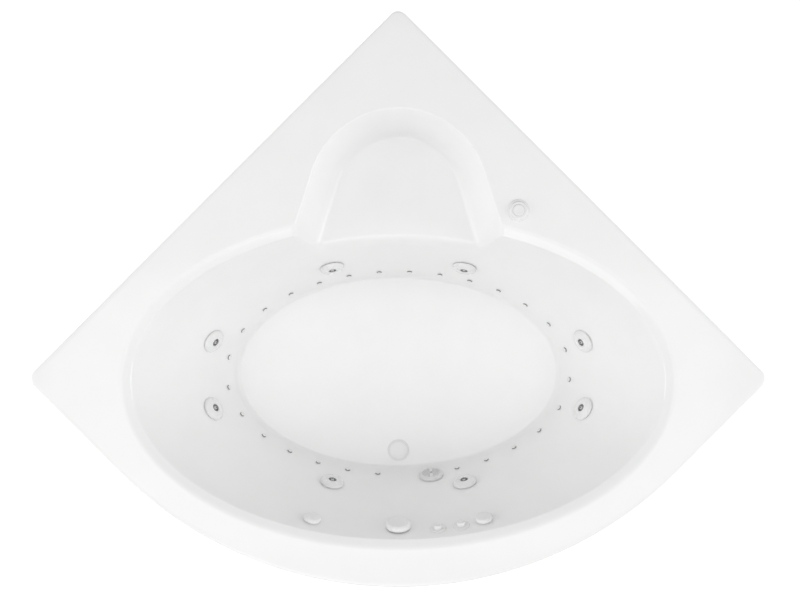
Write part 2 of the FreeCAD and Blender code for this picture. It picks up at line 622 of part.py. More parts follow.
# ---------------------------------------------------------------- pipe loops under the shell
def loop_round(places, reaches, height):
    """Corners of a level loop that runs straight past each place and bends between them."""
    touches = []
    for place, reach in zip(places, reaches):
        outward = place.Rotation.multVec(Vector(0, 0, -1))
        point = place.Base + outward * reach
        level = Vector(outward.x, outward.y, 0).normalize()
        touches.append((Vector(point.x, point.y, height), level))
    corners = []
    for index, (point, level) in enumerate(touches):
        other, turned_level = touches[(index + 1) % len(touches)]
        along = Vector(-level.y, level.x, 0)
        step = (other - point).dot(turned_level) / along.dot(turned_level)
        corners.append(point + along * step)
    return corners


def reach_to(place, height):
    """How far behind the wall a fitting's axis comes down to a level."""
    outward = place.Rotation.multVec(Vector(0, 0, -1))
    return (place.Base.z - height) / -outward.z


jet_reaches = [reach_to(place, size(manifold_height)) for place in jet_places]
manifold_corners = loop_round(jet_places, jet_reaches, size(manifold_height))
manifold_route = rounded_route(manifold_corners, closed=True)
manifold_solid = shaped("manifold_solid", swept(manifold_route, size("manifold_radius")))
manifold_space = swept(manifold_route, size("manifold_radius - pipe_wall"))
air_line_corners = loop_round(jet_places, [size("air_line_reach")] * len(jet_places),
                              size(air_line_height))
air_line_route = rounded_route(air_line_corners, closed=True)
air_line_solid = shaped("air_line_solid", swept(air_line_route, size("air_line_radius")))
air_line_space = swept(air_line_route, size("air_line_radius - air_line_wall"))


def oval_corners(half_x, half_y, height, sides=16):
    """Corners of a level loop that touches an oval in the middle of each run."""
    corners = []
    half_step = math.pi / sides
    for index in range(sides):
        turn = (2 * index + 1) * half_step
        stretch = 1 / math.cos(half_step)
        corners.append(Vector(half_x * stretch * math.cos(turn),
                              half_y * stretch * math.sin(turn) - size("basin_from_origin"), height))
    return corners


air_ring_half_length, air_ring_half_width = [
    half + size("air_ring_reach") for half in half_sizes(size("injector_depth"))[:2]]
air_ring_route = rounded_route(
    oval_corners(air_ring_half_length, air_ring_half_width, size(air_ring_height)), closed=True)
suction_side = [Part.makeCylinder(size("suction_nut_radius + suction_clearance") + wall,
                                  4 * size("suction_reach"),
                                  suction_place.multVec(Vector(0, 0, -2 * size("suction_reach"))),
                                  suction_place.Rotation.multVec(Vector(0, 0, 1)))
                for wall in (0, size("air_ring_wall"))]
air_ring_solid = shaped("air_ring_solid", swept(air_ring_route, size("air_ring_radius")).cut(
    suction_side[0]))
air_ring_space = swept(air_ring_route, size("air_ring_radius - air_ring_wall")).cut(suction_side[1])

# ---------------------------------------------------------------- jets
flange_low = "jet_seal"
flange_high = "jet_seal + jet_flange_thick"
ring_low = f"{flange_high} + face_gap"
socket_radius = "jet_ball_radius + jet_ball_play"
mouth_radius = "jet_ball_radius - jet_mouth_drop"
mouth_level = f"jet_ball_centre + sqrt(({socket_radius}) ^ 2 - ({mouth_radius}) ^ 2)"
cup_radius = "jet_ball_radius - jet_cup_inset"
cup_level = f"sqrt(jet_ball_radius ^ 2 - ({cup_radius}) ^ 2)"
ball_back = "0 - sqrt(jet_ball_radius ^ 2 - jet_throat_radius ^ 2)"
spout_tip = "jet_cup_floor + jet_spout_length"
jet_gaskets, jet_bodies, jet_nuts = [], [], []
for index, (place, reach) in enumerate(zip(jet_places, jet_reaches), 1):
    seal_blank = turned(f"jet_seal_blank_{index}", [
        ("jet_barrel_radius + jet_hole_play", "0 - skin / 2"), ("jet_flange_radius", "0 - skin / 2"),
        ("jet_flange_radius", flange_low), ("jet_barrel_radius + jet_hole_play", flange_low)], place)
    jet_gaskets.append(kept(f"jet_gasket_{index}", seal_blank, basin_space))
    blank = turned(f"jet_body_blank_{index}", [
        ("jet_bore_radius", flange_high), ("jet_bore_radius", "0 - jet_bore_depth"),
        ("jet_throat_radius", "0 - jet_bore_depth"), ("jet_throat_radius", f"0 - {reach:.6f}"),
        ("jet_barrel_radius", f"0 - {reach:.6f}"), ("jet_barrel_radius", flange_low),
        ("jet_flange_radius", flange_low), ("jet_flange_radius", flange_high)], place)
    trimmed = cut(f"jet_body_trim_{index}", blank, manifold_solid)
    jet_bodies.append(cut(f"jet_body_{index}", trimmed, air_line_solid))
    jet_nuts.append(turned(f"jet_nut_{index}", [
        ("jet_barrel_radius + nut_play", "0 - skin - face_gap - jet_nut_thick"),
        ("jet_flange_radius", "0 - skin - face_gap - jet_nut_thick"),
        ("jet_flange_radius", "0 - skin - face_gap"),
        ("jet_barrel_radius + nut_play", "0 - skin - face_gap")], place))
    ring = turned(f"jet_ring_{index}", [
        (socket_radius, "0 - jet_hub_depth"),
        ("jet_bore_radius - jet_hub_play", "0 - jet_hub_depth"),
        ("jet_bore_radius - jet_hub_play", ring_low),
        ("jet_flange_radius + face_gap", ring_low),
        ("jet_flange_radius + face_gap", "jet_seal + face_gap"),
        ("jet_face_radius", "jet_seal + face_gap"),
        ("jet_face_radius", "jet_ring_height - ring_edge"),
        ("jet_face_radius - ring_edge", "jet_ring_height - ring_crown", "ring_edge_arc"),
        (f"{mouth_radius} + ring_mouth_arc", "jet_ring_height"),
        (mouth_radius, "jet_ring_height - ring_crown", "ring_mouth_arc"),
        (mouth_radius, mouth_level),
        (socket_radius, "jet_ball_centre", f"0 - ({socket_radius})")], place)
    ball_place = place.multiply(Placement(Vector(0, 0, size("jet_ball_centre")), Rotation()))
    nozzle = turned(f"jet_nozzle_{index}", [
        ("jet_spout_bore", ball_back), ("jet_throat_radius", ball_back),
        (cup_radius, cup_level, "jet_ball_radius"),
        (f"{cup_radius} - jet_cup_lean", "jet_cup_floor"), ("jet_spout_radius", "jet_cup_floor"),
        ("jet_spout_radius - jet_spout_lean", spout_tip), ("jet_spout_bore", spout_tip)], ball_place)
    subparts += [ring, nozzle]
subparts.append(grouped("jet_bodies", jet_bodies))

# ---------------------------------------------------------------- air injectors
caps, barrels = [], []
for index, place in enumerate(injector_places, 1):
    cap = turned(f"injector_cap_round_{index}", [
        ("0", "injector_seat"), ("injector_cap_radius", "injector_seat"),
        ("injector_cap_radius", "injector_seat + injector_cap_wall"),
        ("injector_cap_radius - injector_cap_edge", "injector_cap_height", "injector_cap_arc"),
        ("0", "injector_cap_height")], place)
    slot_place = place.multiply(Placement(
        Vector(-size("injector_cap_radius"), size("injector_cap_radius / 2"),
               size("injector_seat + injector_slot_rise")),
        Rotation()))
    slot = block(f"injector_slot_{index}", "2 * injector_cap_radius", "injector_cap_radius",
                 "injector_slot_width", ("0", "0", "0"))
    slot.Placement = slot_place
    caps.append(cut(f"injector_cap_{index}", cap, slot))
    blank = turned(f"injector_blank_{index}", [
        ("injector_bore_radius", "injector_seat"), ("injector_bore_radius", "0 - injector_length"),
        ("injector_barrel_radius", "0 - injector_length"),
        ("injector_barrel_radius", "0 - skin - face_gap - injector_nut_thick"),
        ("injector_nut_radius", "0 - skin - face_gap - injector_nut_thick"),
        ("injector_nut_radius", "0 - skin - face_gap"),
        ("injector_barrel_radius", "0 - skin - face_gap"),
        ("injector_barrel_radius", "injector_seat")], place)
    barrel = blank.Shape.cut(air_ring_solid.Shape)
    nearest = max(barrel.Solids, key=lambda item: item.Volume)
    barrels.append(shaped(f"injector_body_{index}", nearest))
subparts.append(grouped("air_injector_caps", caps))
subparts.append(grouped("air_injector_bodies", barrels))


# ---------------------------------------------------------------- loops, drilled for what they feed
def bored(label, solid, space, places, radius, depth):
    """A pipe loop opened where each fitting meets it."""
    shape = solid.Shape.cut(space)
    drills = []
    for place, reach in zip(places, depth):
        base = place.multVec(Vector(0, 0, -reach))
        drills.append(Part.makeCylinder(radius, size("air_ring_radius") * 2, base,
                                        place.Rotation.multVec(Vector(0, 0, 1))))
    return shaped(label, shape.cut(drills))


subparts.append(bored("water_manifold", manifold_solid, manifold_space, jet_places,
                      size("jet_throat_radius"), jet_reaches))
air_loop = shaped("air_loop", air_line_solid.Shape.cut(air_line_space))
injector_reaches = [reach_to(place, size(air_ring_height)) for place in injector_places]
subparts.append(bored("air_ring", air_ring_solid, air_ring_space, injector_places,
                      size("injector_bore_radius"), injector_reaches))

# ---------------------------------------------------------------- suction fitting
suction_high = "suction_seal + suction_flange_thick"
suction_blank = turned("suction_seal_blank", [
    ("suction_barrel_radius + nut_play", "0 - skin / 2"), ("suction_flange_radius", "0 - skin / 2"),
    ("suction_flange_radius", "suction_seal"), ("suction_barrel_radius + nut_play", "suction_seal")],
    suction_place)
suction_gasket = kept("suction_gasket", suction_blank, basin_space)
suction_body = turned("suction_body", [
    ("screw_radius", f"{suction_high}"), ("suction_flange_radius", f"{suction_high}"),
    ("suction_flange_radius", "suction_seal"), ("suction_barrel_radius", "suction_seal"),
    ("suction_barrel_radius", "0 - suction_reach"), ("suction_bore_radius", "0 - suction_reach"),
    ("suction_bore_radius", f"{suction_high} - suction_web_thick"),
    ("screw_radius", f"{suction_high} - suction_web_thick")], suction_place)
water_ways = []
for turn in range(0, 360, 60):
    spot = Placement(Rotation(turn, 0, 0).multVec(
        Vector(size("suction_way_ring"), 0, -size("suction_reach") / 2)), Rotation())
    water_ways.append(rod(f"suction_way_{turn}", "suction_way_radius", "suction_reach",
                          suction_place.multiply(spot)))
suction_body = cut("suction_housing", suction_body, grouped("suction_ways", water_ways))
subparts.append(suction_body)
suction_nut = turned("suction_nut", [
    ("suction_barrel_radius + nut_play", "0 - skin - face_gap - jet_nut_thick"),
    ("suction_nut_radius", "0 - skin - face_gap - jet_nut_thick"),
    ("suction_nut_radius", "0 - skin - face_gap"),
    ("suction_barrel_radius + nut_play", "0 - skin - face_gap")], suction_place)
cover_low = f"{suction_high} + face_gap"
cover_blank = turned("suction_cover_blank", [
    ("screw_radius + screw_play", cover_low), ("screw_head_radius", cover_low),
    ("screw_head_radius", "suction_cover_height - suction_cover_wall"),
    ("suction_flange_radius - suction_cover_edge", "suction_cover_height - suction_cover_wall"),
    ("suction_flange_radius + face_gap",
     "suction_cover_height - suction_cover_wall - suction_cover_slope"),
    ("suction_flange_radius + face_gap", "suction_seal"), ("suction_face_radius", "suction_seal"),
    ("suction_face_radius", "suction_cover_height - suction_cover_edge"),
    ("suction_face_radius - suction_cover_edge", "suction_cover_height", "suction_cover_arc"),
    ("screw_radius + screw_play", "suction_cover_height")], suction_place)
grille_holes = []
pitch = size("grille_pitch")
least, most = size("screw_head_radius + grille_margin"), size("suction_flange_radius - grille_margin")
reach = int(most / pitch) + 1
for row in range(-reach, reach + 1):
    for column in range(-reach, reach + 1):
        east = (column + (row % 2) / 2) * pitch
        north = row * pitch * math.sqrt(3) / 2
        distance = math.hypot(east, north)
        if least < distance < most:
            spot = Placement(Vector(east, north, size(cover_low)), Rotation())
            grille_holes.append(rod(f"grille_{row + reach}_{column + reach}", "grille_hole_radius",
                                    "suction_cover_height", suction_place.multiply(spot)))
suction_cover = cut("suction_cover", cover_blank, grouped("grille_holes", grille_holes))
subparts.append(suction_cover)
suction_screw = turned("suction_screw", [
    ("0", "0 - screw_reach"), ("screw_radius - seat_gap", "0 - screw_reach"),
    ("screw_radius - seat_gap", "suction_cover_height + seat_gap"),
    ("screw_head_radius", "suction_cover_height + seat_gap"),
    ("screw_head_radius", "suction_cover_height + seat_gap + screw_head_height / 2"),
    ("screw_head_radius - screw_head_edge", "suction_cover_height + screw_head_height"),
    ("0", "suction_cover_height + screw_head_height")], suction_place)

# ---------------------------------------------------------------- pump
along_y = Rotation(Vector(1, 0, 0), -90)
pump_place = Placement(Vector(size("pump_place"), -size("pump_front"), size("pump_axis_height")), along_y)
volute_blank = turned("volute_blank", [
    ("pump_mouth_radius", "0 - pump_neck_length"), ("pump_neck_radius", "0 - pump_neck_length"),
    ("pump_neck_radius", "0"), ("volute_radius - volute_edge", "0"),
    ("volute_radius", "volute_edge", "volute_edge"),
    ("volute_radius", "volute_length"), ("shaft_radius + shaft_hole_play", "volute_length"),
    ("shaft_radius + shaft_hole_play", "volute_length - volute_wall"),
    ("volute_radius - volute_wall", "volute_length - volute_wall"),
    ("volute_radius - volute_wall", "volute_wall"), ("pump_mouth_radius", "volute_wall")], pump_place)
outlet_place = Placement(Vector(size("pump_place"), size("volute_length / 2 - pump_front"),
                                size("pump_axis_height + volute_radius - volute_wall")), Rotation())
outlet = rod("volute_outlet", "pump_neck_radius", "volute_wall + pump_neck_length", outlet_place)
outlet_low = outlet_place.multiply(Placement(Vector(0, 0, -size("bore_overrun")), Rotation()))
outlet_bore = rod("volute_outlet_bore", "discharge_radius",
                  "volute_wall + pump_neck_length + 2 * bore_overrun", outlet_low)
pump_volute = cut("pump_volute", joined("volute_form", [volute_blank, outlet]), outlet_bore)
subparts.append(pump_volute)
motor_start = "volute_length + motor_gap"
motor_end = f"{motor_start} + motor_length"
subparts.append(turned("pump_motor", [
    ("bearing_outer_radius + shaft_play", motor_start),
    ("motor_radius - motor_front_edge", motor_start),
    ("motor_radius", f"{motor_start} + motor_front_edge", "motor_front_edge"),
    ("motor_radius", f"{motor_end} - motor_back_edge"),
    ("motor_radius - motor_back_edge", motor_end, "motor_back_edge"),
    ("0", motor_end), ("0", f"{motor_end} - motor_wall"),
    ("bearing_outer_radius + shaft_play", f"{motor_end} - motor_wall"),
    ("bearing_outer_radius + shaft_play", f"{motor_end} - motor_wall - bearing_width"),
    ("motor_radius - motor_wall - motor_back_edge", f"{motor_end} - motor_wall - bearing_width"),
    ("motor_radius - motor_wall", f"{motor_end} - motor_wall - bearing_width - motor_back_edge"),
    ("motor_radius - motor_wall", f"{motor_start} + motor_wall + bearing_width"),
    ("bearing_outer_radius + shaft_play", f"{motor_start} + motor_wall + bearing_width")], pump_place))
bearings = []
for name, start in (("front", f"{motor_start} + motor_wall"),
                    ("back", f"{motor_end} - motor_wall - bearing_width")):
    bearings.append(turned(f"pump_bearing_{name}", [
        ("shaft_radius + shaft_play", start), ("bearing_outer_radius", start),
        ("bearing_outer_radius", f"{start} + bearing_width"),
        ("shaft_radius + shaft_play", f"{start} + bearing_width")], pump_place))
subparts.append(grouped("pump_bearings", bearings))
impeller_eye = "volute_wall + impeller_gap"
impeller_back = f"{impeller_eye} + impeller_rise + impeller_thick"
core_start = f"{motor_start} + motor_length / 2 - rotor_core_length / 2"
subparts.append(turned("pump_rotor", [
    ("0", impeller_eye), ("shaft_radius + impeller_nose", impeller_eye),
    ("shaft_radius + impeller_flare", f"{impeller_eye} + impeller_flare"),
    ("impeller_radius", f"{impeller_eye} + impeller_rise"), ("impeller_radius", impeller_back),
    ("shaft_radius", impeller_back), ("shaft_radius", core_start), ("rotor_core_radius", core_start),
    ("rotor_core_radius", f"{core_start} + rotor_core_length"),
    ("shaft_radius", f"{core_start} + rotor_core_length"),
    ("shaft_radius", f"{motor_end} - motor_wall - shaft_end_gap"),
    ("0", f"{motor_end} - motor_wall - shaft_end_gap")], pump_place))
foot_end = f"{motor_end} - foot_setback - pump_front"
saddle_height = "pump_axis_height - board_thick - motor_radius / 2"
foot_corner = ("pump_place - foot_half_width", f"{foot_end} - foot_length", "board_thick")
foot_plate = block("foot_plate", "2 * foot_half_width", "foot_length", "foot_thick", foot_corner)
cheeks = [block(f"cheek_{end}", "2 * foot_half_width - 2 * cheek_inset", "cheek_thick", saddle_height,
                ("pump_place - foot_half_width + cheek_inset", f"{foot_end} - {shift}", "board_thick"))
          for end, shift in (("front", "foot_length"), ("back", "cheek_thick"))]
motor_room = rod("motor_room", "motor_radius + face_gap / 2", "2 * motor_length", pump_place)
bolt_spots = [(size("pump_place") + east * size("foot_half_width - bolt_inset"),
               size(f"{foot_end} - foot_length / 2") + north * size("bolt_half_spacing"))
              for east in (-1, 1) for north in (-1, 1)]
bolt_holes = [rod(f"foot_hole_{index}", "bolt_radius + face_gap", "2 * foot_thick",
                  Placement(Vector(east, north, size("board_thick")), Rotation()))
              for index, (east, north) in enumerate(bolt_spots)]
bracket = cut("bracket_form", joined("bracket_blank", [foot_plate] + cheeks), motor_room)
subparts.append(cut("pump_bracket", bracket, grouped("foot_holes", bolt_holes)))
bolt_seat = "foot_thick + flange_gap"
bolts = []
for index, (east, north) in enumerate(bolt_spots):
    bolts.append(turned(f"foot_bolt_{index}", [
        ("0", "seat_gap"), ("bolt_radius", "seat_gap"), ("bolt_radius", bolt_seat),
        ("bolt_head_radius", bolt_seat), ("bolt_head_radius", f"{bolt_seat} + bolt_head_height"),
        ("0", f"{bolt_seat} + bolt_head_height")],
        Placement(Vector(east, north, size("board_thick")), Rotation())))
subparts.append(grouped("screws", bolts + [suction_screw]))
unions = [turned("union_inlet", [
    ("pump_neck_radius + face_gap", "0 - pump_neck_length"), ("union_radius", "0 - pump_neck_length"),
    ("union_radius", "0 - pump_neck_length + union_length"),
    ("pump_neck_radius + face_gap", "0 - pump_neck_length + union_length")], pump_place)]
union_place = Placement(outlet_place.Base + Vector(0, 0, size("volute_wall")), Rotation())
unions.append(turned("union_outlet", [
    ("pump_neck_radius + face_gap", "pump_neck_length - union_length"),
    ("union_radius", "pump_neck_length - union_length"), ("union_radius", "pump_neck_length"),
    ("pump_neck_radius + face_gap", "pump_neck_length")], union_place))
subparts.append(grouped("pump_unions", unions))

# ---------------------------------------------------------------- suction and discharge pipes
suction_start = suction_place.multVec(Vector(0, 0, -size("suction_reach")))
suction_knee = suction_place.multVec(Vector(0, 0, -size("suction_reach + suction_knee_run")))
pump_mouth = pump_place.multVec(Vector(0, 0, -size("pump_neck_length")))
pump_knee = pump_mouth - Vector(0, size("pump_knee_run"), 0)
heater_end = Vector(size("pump_place - heater_end_side"), pump_knee.y - size("heater_end_front"),
                    size("pump_axis_height + heater_end_rise"))
suction_route = [suction_start, suction_knee, heater_end, pump_knee, pump_mouth]
subparts.append(pipe("suction_pipe", suction_route, size("suction_pipe_radius"), size("pipe_wall"),
                     tightest=size("suction_bend_radius")))
run = (heater_end - suction_knee).normalize()
heater_place = Placement(suction_knee + run * size("heater_from_knee"), Rotation(Vector(0, 0, 1), run))
subparts.append(turned("inline_heater", [
    ("suction_pipe_radius + seat_gap", "0"), ("heater_radius - heater_edge", "0"),
    ("heater_radius", "heater_edge", "heater_edge"), ("heater_radius", "heater_length - heater_edge"),
    ("heater_radius - heater_edge", "heater_length", "heater_edge"),
    ("suction_pipe_radius + seat_gap", "heater_length")], heater_place))
outlet_mouth = outlet_place.Base + Vector(0, 0, size("volute_wall + pump_neck_length"))
outlet_knee = Vector(outlet_mouth.x, outlet_mouth.y, size(manifold_height))
nearest_run = min((line for line in manifold_route.Edges), key=lambda edge: edge.distToShape(
    Part.Vertex(outlet_knee))[0])
manifold_meet = nearest_run.distToShape(Part.Vertex(outlet_knee))[1][0][0]
discharge = rounded_route([outlet_mouth, outlet_knee, manifold_meet], tightest=size("discharge_bend_radius"))
discharge_shape = swept(discharge, size("discharge_radius")).cut(
    swept(discharge, size("discharge_radius - pipe_wall")))
discharge_shape = discharge_shape.cut(manifold_solid.Shape)
subparts.append(shaped("discharge_pipe", max(discharge_shape.Solids, key=lambda item: item.Volume)))

# ---------------------------------------------------------------- blower
blower_place = Placement(Vector(-size("blower_place"), -size("basin_from_origin"), size("board_thick")),
                         Rotation())
fan_level = "blower_motor_height + blower_wall + fan_gap"
fan_top = f"{fan_level} + fan_thick"
blower_blank = turned("blower_blank", [
    ("0", "0"), ("blower_radius - blower_foot_edge", "0"),
    ("blower_radius", "blower_foot_edge", "blower_foot_edge"),
    ("blower_radius", "blower_height - blower_top_edge"),
    ("blower_radius - blower_top_edge", "blower_height", "blower_top_edge"),
    ("fan_radius / 2", "blower_height"), ("fan_radius / 2", "blower_height - blower_wall"),
    ("blower_radius - blower_wall - blower_top_edge", "blower_height - blower_wall"),
    ("blower_radius - blower_wall", "blower_height - blower_wall - blower_top_edge",
     "0 - blower_top_edge"),
    ("blower_radius - blower_wall", "blower_wall"), ("0", "blower_wall")], blower_place)
blower_mouth = Vector(-size("blower_place") + size("blower_radius"), -size("basin_from_origin"),
                      size("blower_pipe_height"))
along_x = Rotation(Vector(0, 1, 0), 90)
blower_hole = rod("blower_hole", "blower_pipe_radius - pipe_wall", "blower_radius",
                  Placement(blower_mouth - Vector(size("blower_radius / 3"), 0, 0), along_x))
subparts.append(cut("blower_housing", blower_blank, blower_hole))
subparts.append(turned("blower_motor", [
    ("fan_shaft_radius + shaft_play", "blower_wall + blower_motor_base"),
    ("fan_shaft_radius + shaft_play", "blower_wall + blower_motor_height"),
    ("blower_motor_radius", "blower_wall + blower_motor_height"),
    ("blower_motor_radius", "blower_wall"), ("0", "blower_wall"),
    ("0", "blower_wall + blower_motor_base")], blower_place))
fan_shaft_low = "blower_wall + blower_motor_base + shaft_end_gap"
fan_disc = turned("fan_disc", [
    ("0", fan_shaft_low), ("fan_shaft_radius", fan_shaft_low), ("fan_shaft_radius", fan_level),
    ("fan_radius", fan_level), ("fan_radius", fan_top), ("fan_hub_radius", fan_top),
    ("fan_hub_radius - fan_hub_taper", f"{fan_top} + fan_hub_height"),
    ("0", f"{fan_top} + fan_hub_height")], blower_place)
vanes = []
vane_count = int(size("fan_vane_count"))
for index in range(vane_count):
    vane = block(f"vane_{index}", "fan_radius - fan_vane_start - fan_vane_inset", "fan_vane_thick",
                 "fan_vane_height", ("0", "0", "0"))
    swing = Rotation(360 * index / vane_count, 0, 0)
    root = swing.multVec(Vector(size("fan_vane_start"), 0, size(f"{fan_top} - fan_vane_root")))
    vane.Placement = Placement(blower_place.Base + root, swing)
    vanes.append(vane)
subparts.append(joined("blower_rotor", [fan_disc] + vanes))
ring_under = Vector(-air_ring_half_length, -size("basin_from_origin"), size(air_ring_height))
blower_knee = Vector(ring_under.x, ring_under.y, size("blower_pipe_height"))
blower_route = rounded_route([blower_mouth + Vector(size("flange_gap"), 0, 0), blower_knee, ring_under],
                             tightest=size("blower_bend_radius"))
blower_pipe_shape = swept(blower_route, size("blower_pipe_radius")).cut(
    swept(blower_route, size("blower_pipe_radius - pipe_wall"))).cut(air_ring_solid.Shape)
subparts.append(shaped("blower_pipe", max(blower_pipe_shape.Solids, key=lambda item: item.Volume)))

# ---------------------------------------------------------------- waste and overflow
drain_blank = turned("drain_blank", [
    ("stem_radius + stem_play", "0 - drain_web_depth"), ("drain_bore_radius", "0 - drain_web_depth"),
    ("drain_bore_radius", "drain_flange_thick - drain_bevel"),
    ("drain_bore_radius + drain_bevel", "drain_flange_thick - drain_dip"),
    ("drain_flange_radius - drain_flange_taper", "drain_flange_thick"),
    ("drain_flange_radius", "drain_flange_edge", "0 - drain_flange_arc"),
    ("drain_flange_radius", "flange_gap"), ("drain_shank_radius", "flange_gap"),
    ("drain_shank_radius", "0 - drain_shank_length"), ("drain_bore_radius", "0 - drain_shank_length"),
    ("drain_bore_radius", "0 - drain_web_depth - drain_web_thick"),
    ("stem_radius + stem_play", "0 - drain_web_depth - drain_web_thick")], drain_place)
web_holes = []
for turn in range(0, 360, 90):
    spot = Rotation(turn, 0, 0).multVec(
        Vector(size("drain_web_ring"), 0, -size("drain_web_depth + drain_web_thick") - 1))
    web_holes.append(rod(f"web_hole_{turn}", "drain_web_hole", "drain_web_thick + 2",
                         drain_place.multiply(Placement(spot, Rotation()))))
subparts.append(cut("drain_flange", drain_blank, grouped("web_holes", web_holes)))
stopper_low = "drain_flange_thick + stopper_gap"
subparts.append(turned("drain_stopper", [
    ("0", f"{stopper_low} - stopper_stem_length"), ("stem_radius", f"{stopper_low} - stopper_stem_length"),
    ("stem_radius", stopper_low), ("stopper_radius", stopper_low),
    ("stopper_radius", f"{stopper_low} + stopper_rim"),
    ("stopper_radius - stopper_edge", f"{stopper_low} + stopper_rim + stopper_edge_rise",
     "stopper_edge_arc"),
    ("stopper_flat_radius", f"{stopper_low} + stopper_height", "stopper_crown_arc"),
    ("0", f"{stopper_low} + stopper_height")], drain_place))
shoe_top = "0 - skin - shoe_gasket"
pipe_drop = f"{floor_height} - waste_pipe_height"
shoe_inside = f"0 - ({pipe_drop}) - shoe_floor_drop"
waste_gasket = turned("floor_gasket", [
    ("drain_shank_radius + face_gap", shoe_top), ("shoe_radius + shoe_flange", shoe_top),
    ("shoe_radius + shoe_flange", "0 - skin"), ("drain_shank_radius + face_gap", "0 - skin")], drain_place)
shoe_cup = turned("shoe_cup", [
    ("drain_shank_radius + shank_play", shoe_top), ("drain_shank_radius + shank_play", shoe_inside),
    ("0", shoe_inside), ("0", f"{shoe_inside} - shoe_floor"),
    ("shoe_radius", f"{shoe_inside} - shoe_floor"), ("shoe_radius", f"{shoe_top} - shoe_flange_thick"),
    ("shoe_radius + shoe_flange", f"{shoe_top} - shoe_flange_thick"),
    ("shoe_radius + shoe_flange", shoe_top)], drain_place)
to_front = Rotation(Vector(1, 0, 0), 90)
shoe_axis = Vector(0, -size("drain_from_origin"), size("waste_pipe_height"))
waste_run = "waste_from_origin - drain_from_origin - tee_radius"
shoe_pipe = rod("shoe_pipe", "waste_pipe_radius", waste_run, Placement(shoe_axis, to_front))
shoe_bore = rod("shoe_bore", "waste_pipe_radius - waste_pipe_wall", waste_run,
                Placement(shoe_axis, to_front))
shoe_room = rod("shoe_room", "drain_shank_radius + shank_play", f"{pipe_drop} + shoe_floor_drop",
                Placement(shoe_axis - Vector(0, 0, size("shoe_floor_drop")), Rotation()))
shoe_hollow = joined("shoe_hollow", [shoe_bore, shoe_room])
subparts.append(cut("drain_shoe", joined("shoe_form", [shoe_cup, shoe_pipe]), shoe_hollow))
tee_place = Placement(Vector(0, -size("waste_from_origin"), size("waste_pipe_height")), Rotation())
tee_mouth = turned("tee_body", [
    ("waste_pipe_radius - waste_pipe_wall", "tail_bottom - waste_pipe_height"),
    ("waste_pipe_radius", "tail_bottom - waste_pipe_height"), ("waste_pipe_radius", "0 - tee_half_height"),
    ("tee_radius", "0 - tee_half_height"), ("tee_radius", "tee_half_height"),
    ("waste_pipe_radius - waste_pipe_wall", "tee_half_height")], tee_place)
tee_side = rod("tee_side", "waste_pipe_radius - waste_pipe_wall", "2 * tee_radius", Placement(
    tee_place.Base, Rotation(Vector(1, 0, 0), -90)))
subparts.append(cut("waste_tee", tee_mouth, tee_side))

overflow_back = "0 - skin - overflow_seal"
overflow_rim = "overflow_cup_radius + overflow_flange"
overflow_gasket = turned("overflow_gasket", [
    ("overflow_hole_radius", overflow_back), (overflow_rim, overflow_back),
    (overflow_rim, "0 - skin - flange_gap"), ("overflow_hole_radius", "0 - skin - flange_gap")],
    overflow_place)
cup_low = f"{overflow_back} - overflow_cup_depth"
overflow_cup = turned("overflow_cup", [
    ("spindle_radius + spindle_play", cup_low),
    ("spindle_radius + spindle_play", f"{cup_low} + spindle_boss_length"),
    ("spindle_boss_radius", f"{cup_low} + spindle_boss_length"),
    ("spindle_boss_radius", f"{cup_low} + overflow_cup_wall"),
    ("overflow_cup_radius - overflow_cup_wall", f"{cup_low} + overflow_cup_wall"),
    ("overflow_cup_radius - overflow_cup_wall", overflow_back),
    (overflow_rim, overflow_back), (overflow_rim, f"{overflow_back} - overflow_flange"),
    ("overflow_cup_radius", f"{overflow_back} - overflow_flange"), ("overflow_cup_radius", cup_low)],
    overflow_place)
spout_top = overflow_place.multVec(Vector(0, 0, -size("skin + overflow_seal + overflow_spout_back")))
spout_top.z -= size("spindle_boss_radius + overflow_spout_drop")
spout = rod("overflow_spout", "waste_pipe_radius", "overflow_spout_length", Placement(
    spout_top - Vector(0, 0, size("overflow_spout_length")), Rotation()))
overflow_room = turned("overflow_room", [
    ("0", f"{cup_low} + overflow_cup_wall"),
    ("overflow_cup_radius - overflow_cup_wall", f"{cup_low} + overflow_cup_wall"),
    ("overflow_cup_radius - overflow_cup_wall", "0"), ("0", "0")], overflow_place)
spout_bore = rod("spout_bore", "waste_pipe_radius - waste_pipe_wall", "overflow_spout_length + 1", Placement(
    spout_top - Vector(0, 0, size("overflow_spout_length") + 1), Rotation()))
spout_outside = cut("spout_outside", spout, overflow_room)
subparts.append(cut("overflow_body", joined("overflow_form", [overflow_cup, spout_outside]), spout_bore))
pipe_head = spout_top - Vector(0, 0, size("overflow_spout_length"))
pipe_foot = Vector(0, -size("waste_from_origin"), size("waste_pipe_height + tee_half_height"))
overflow_bends = [pipe_head, pipe_head - Vector(0, 0, size("overflow_neck")),
                  pipe_foot + Vector(0, 0, size("overflow_set_height")), pipe_foot]
subparts.append(pipe("overflow_pipe", overflow_bends, size("waste_pipe_radius"), size("waste_pipe_wall")))
knob_top = "overflow_knob_stand + overflow_knob_height"
knob_roof = f"{knob_top} - overflow_knob_wall"
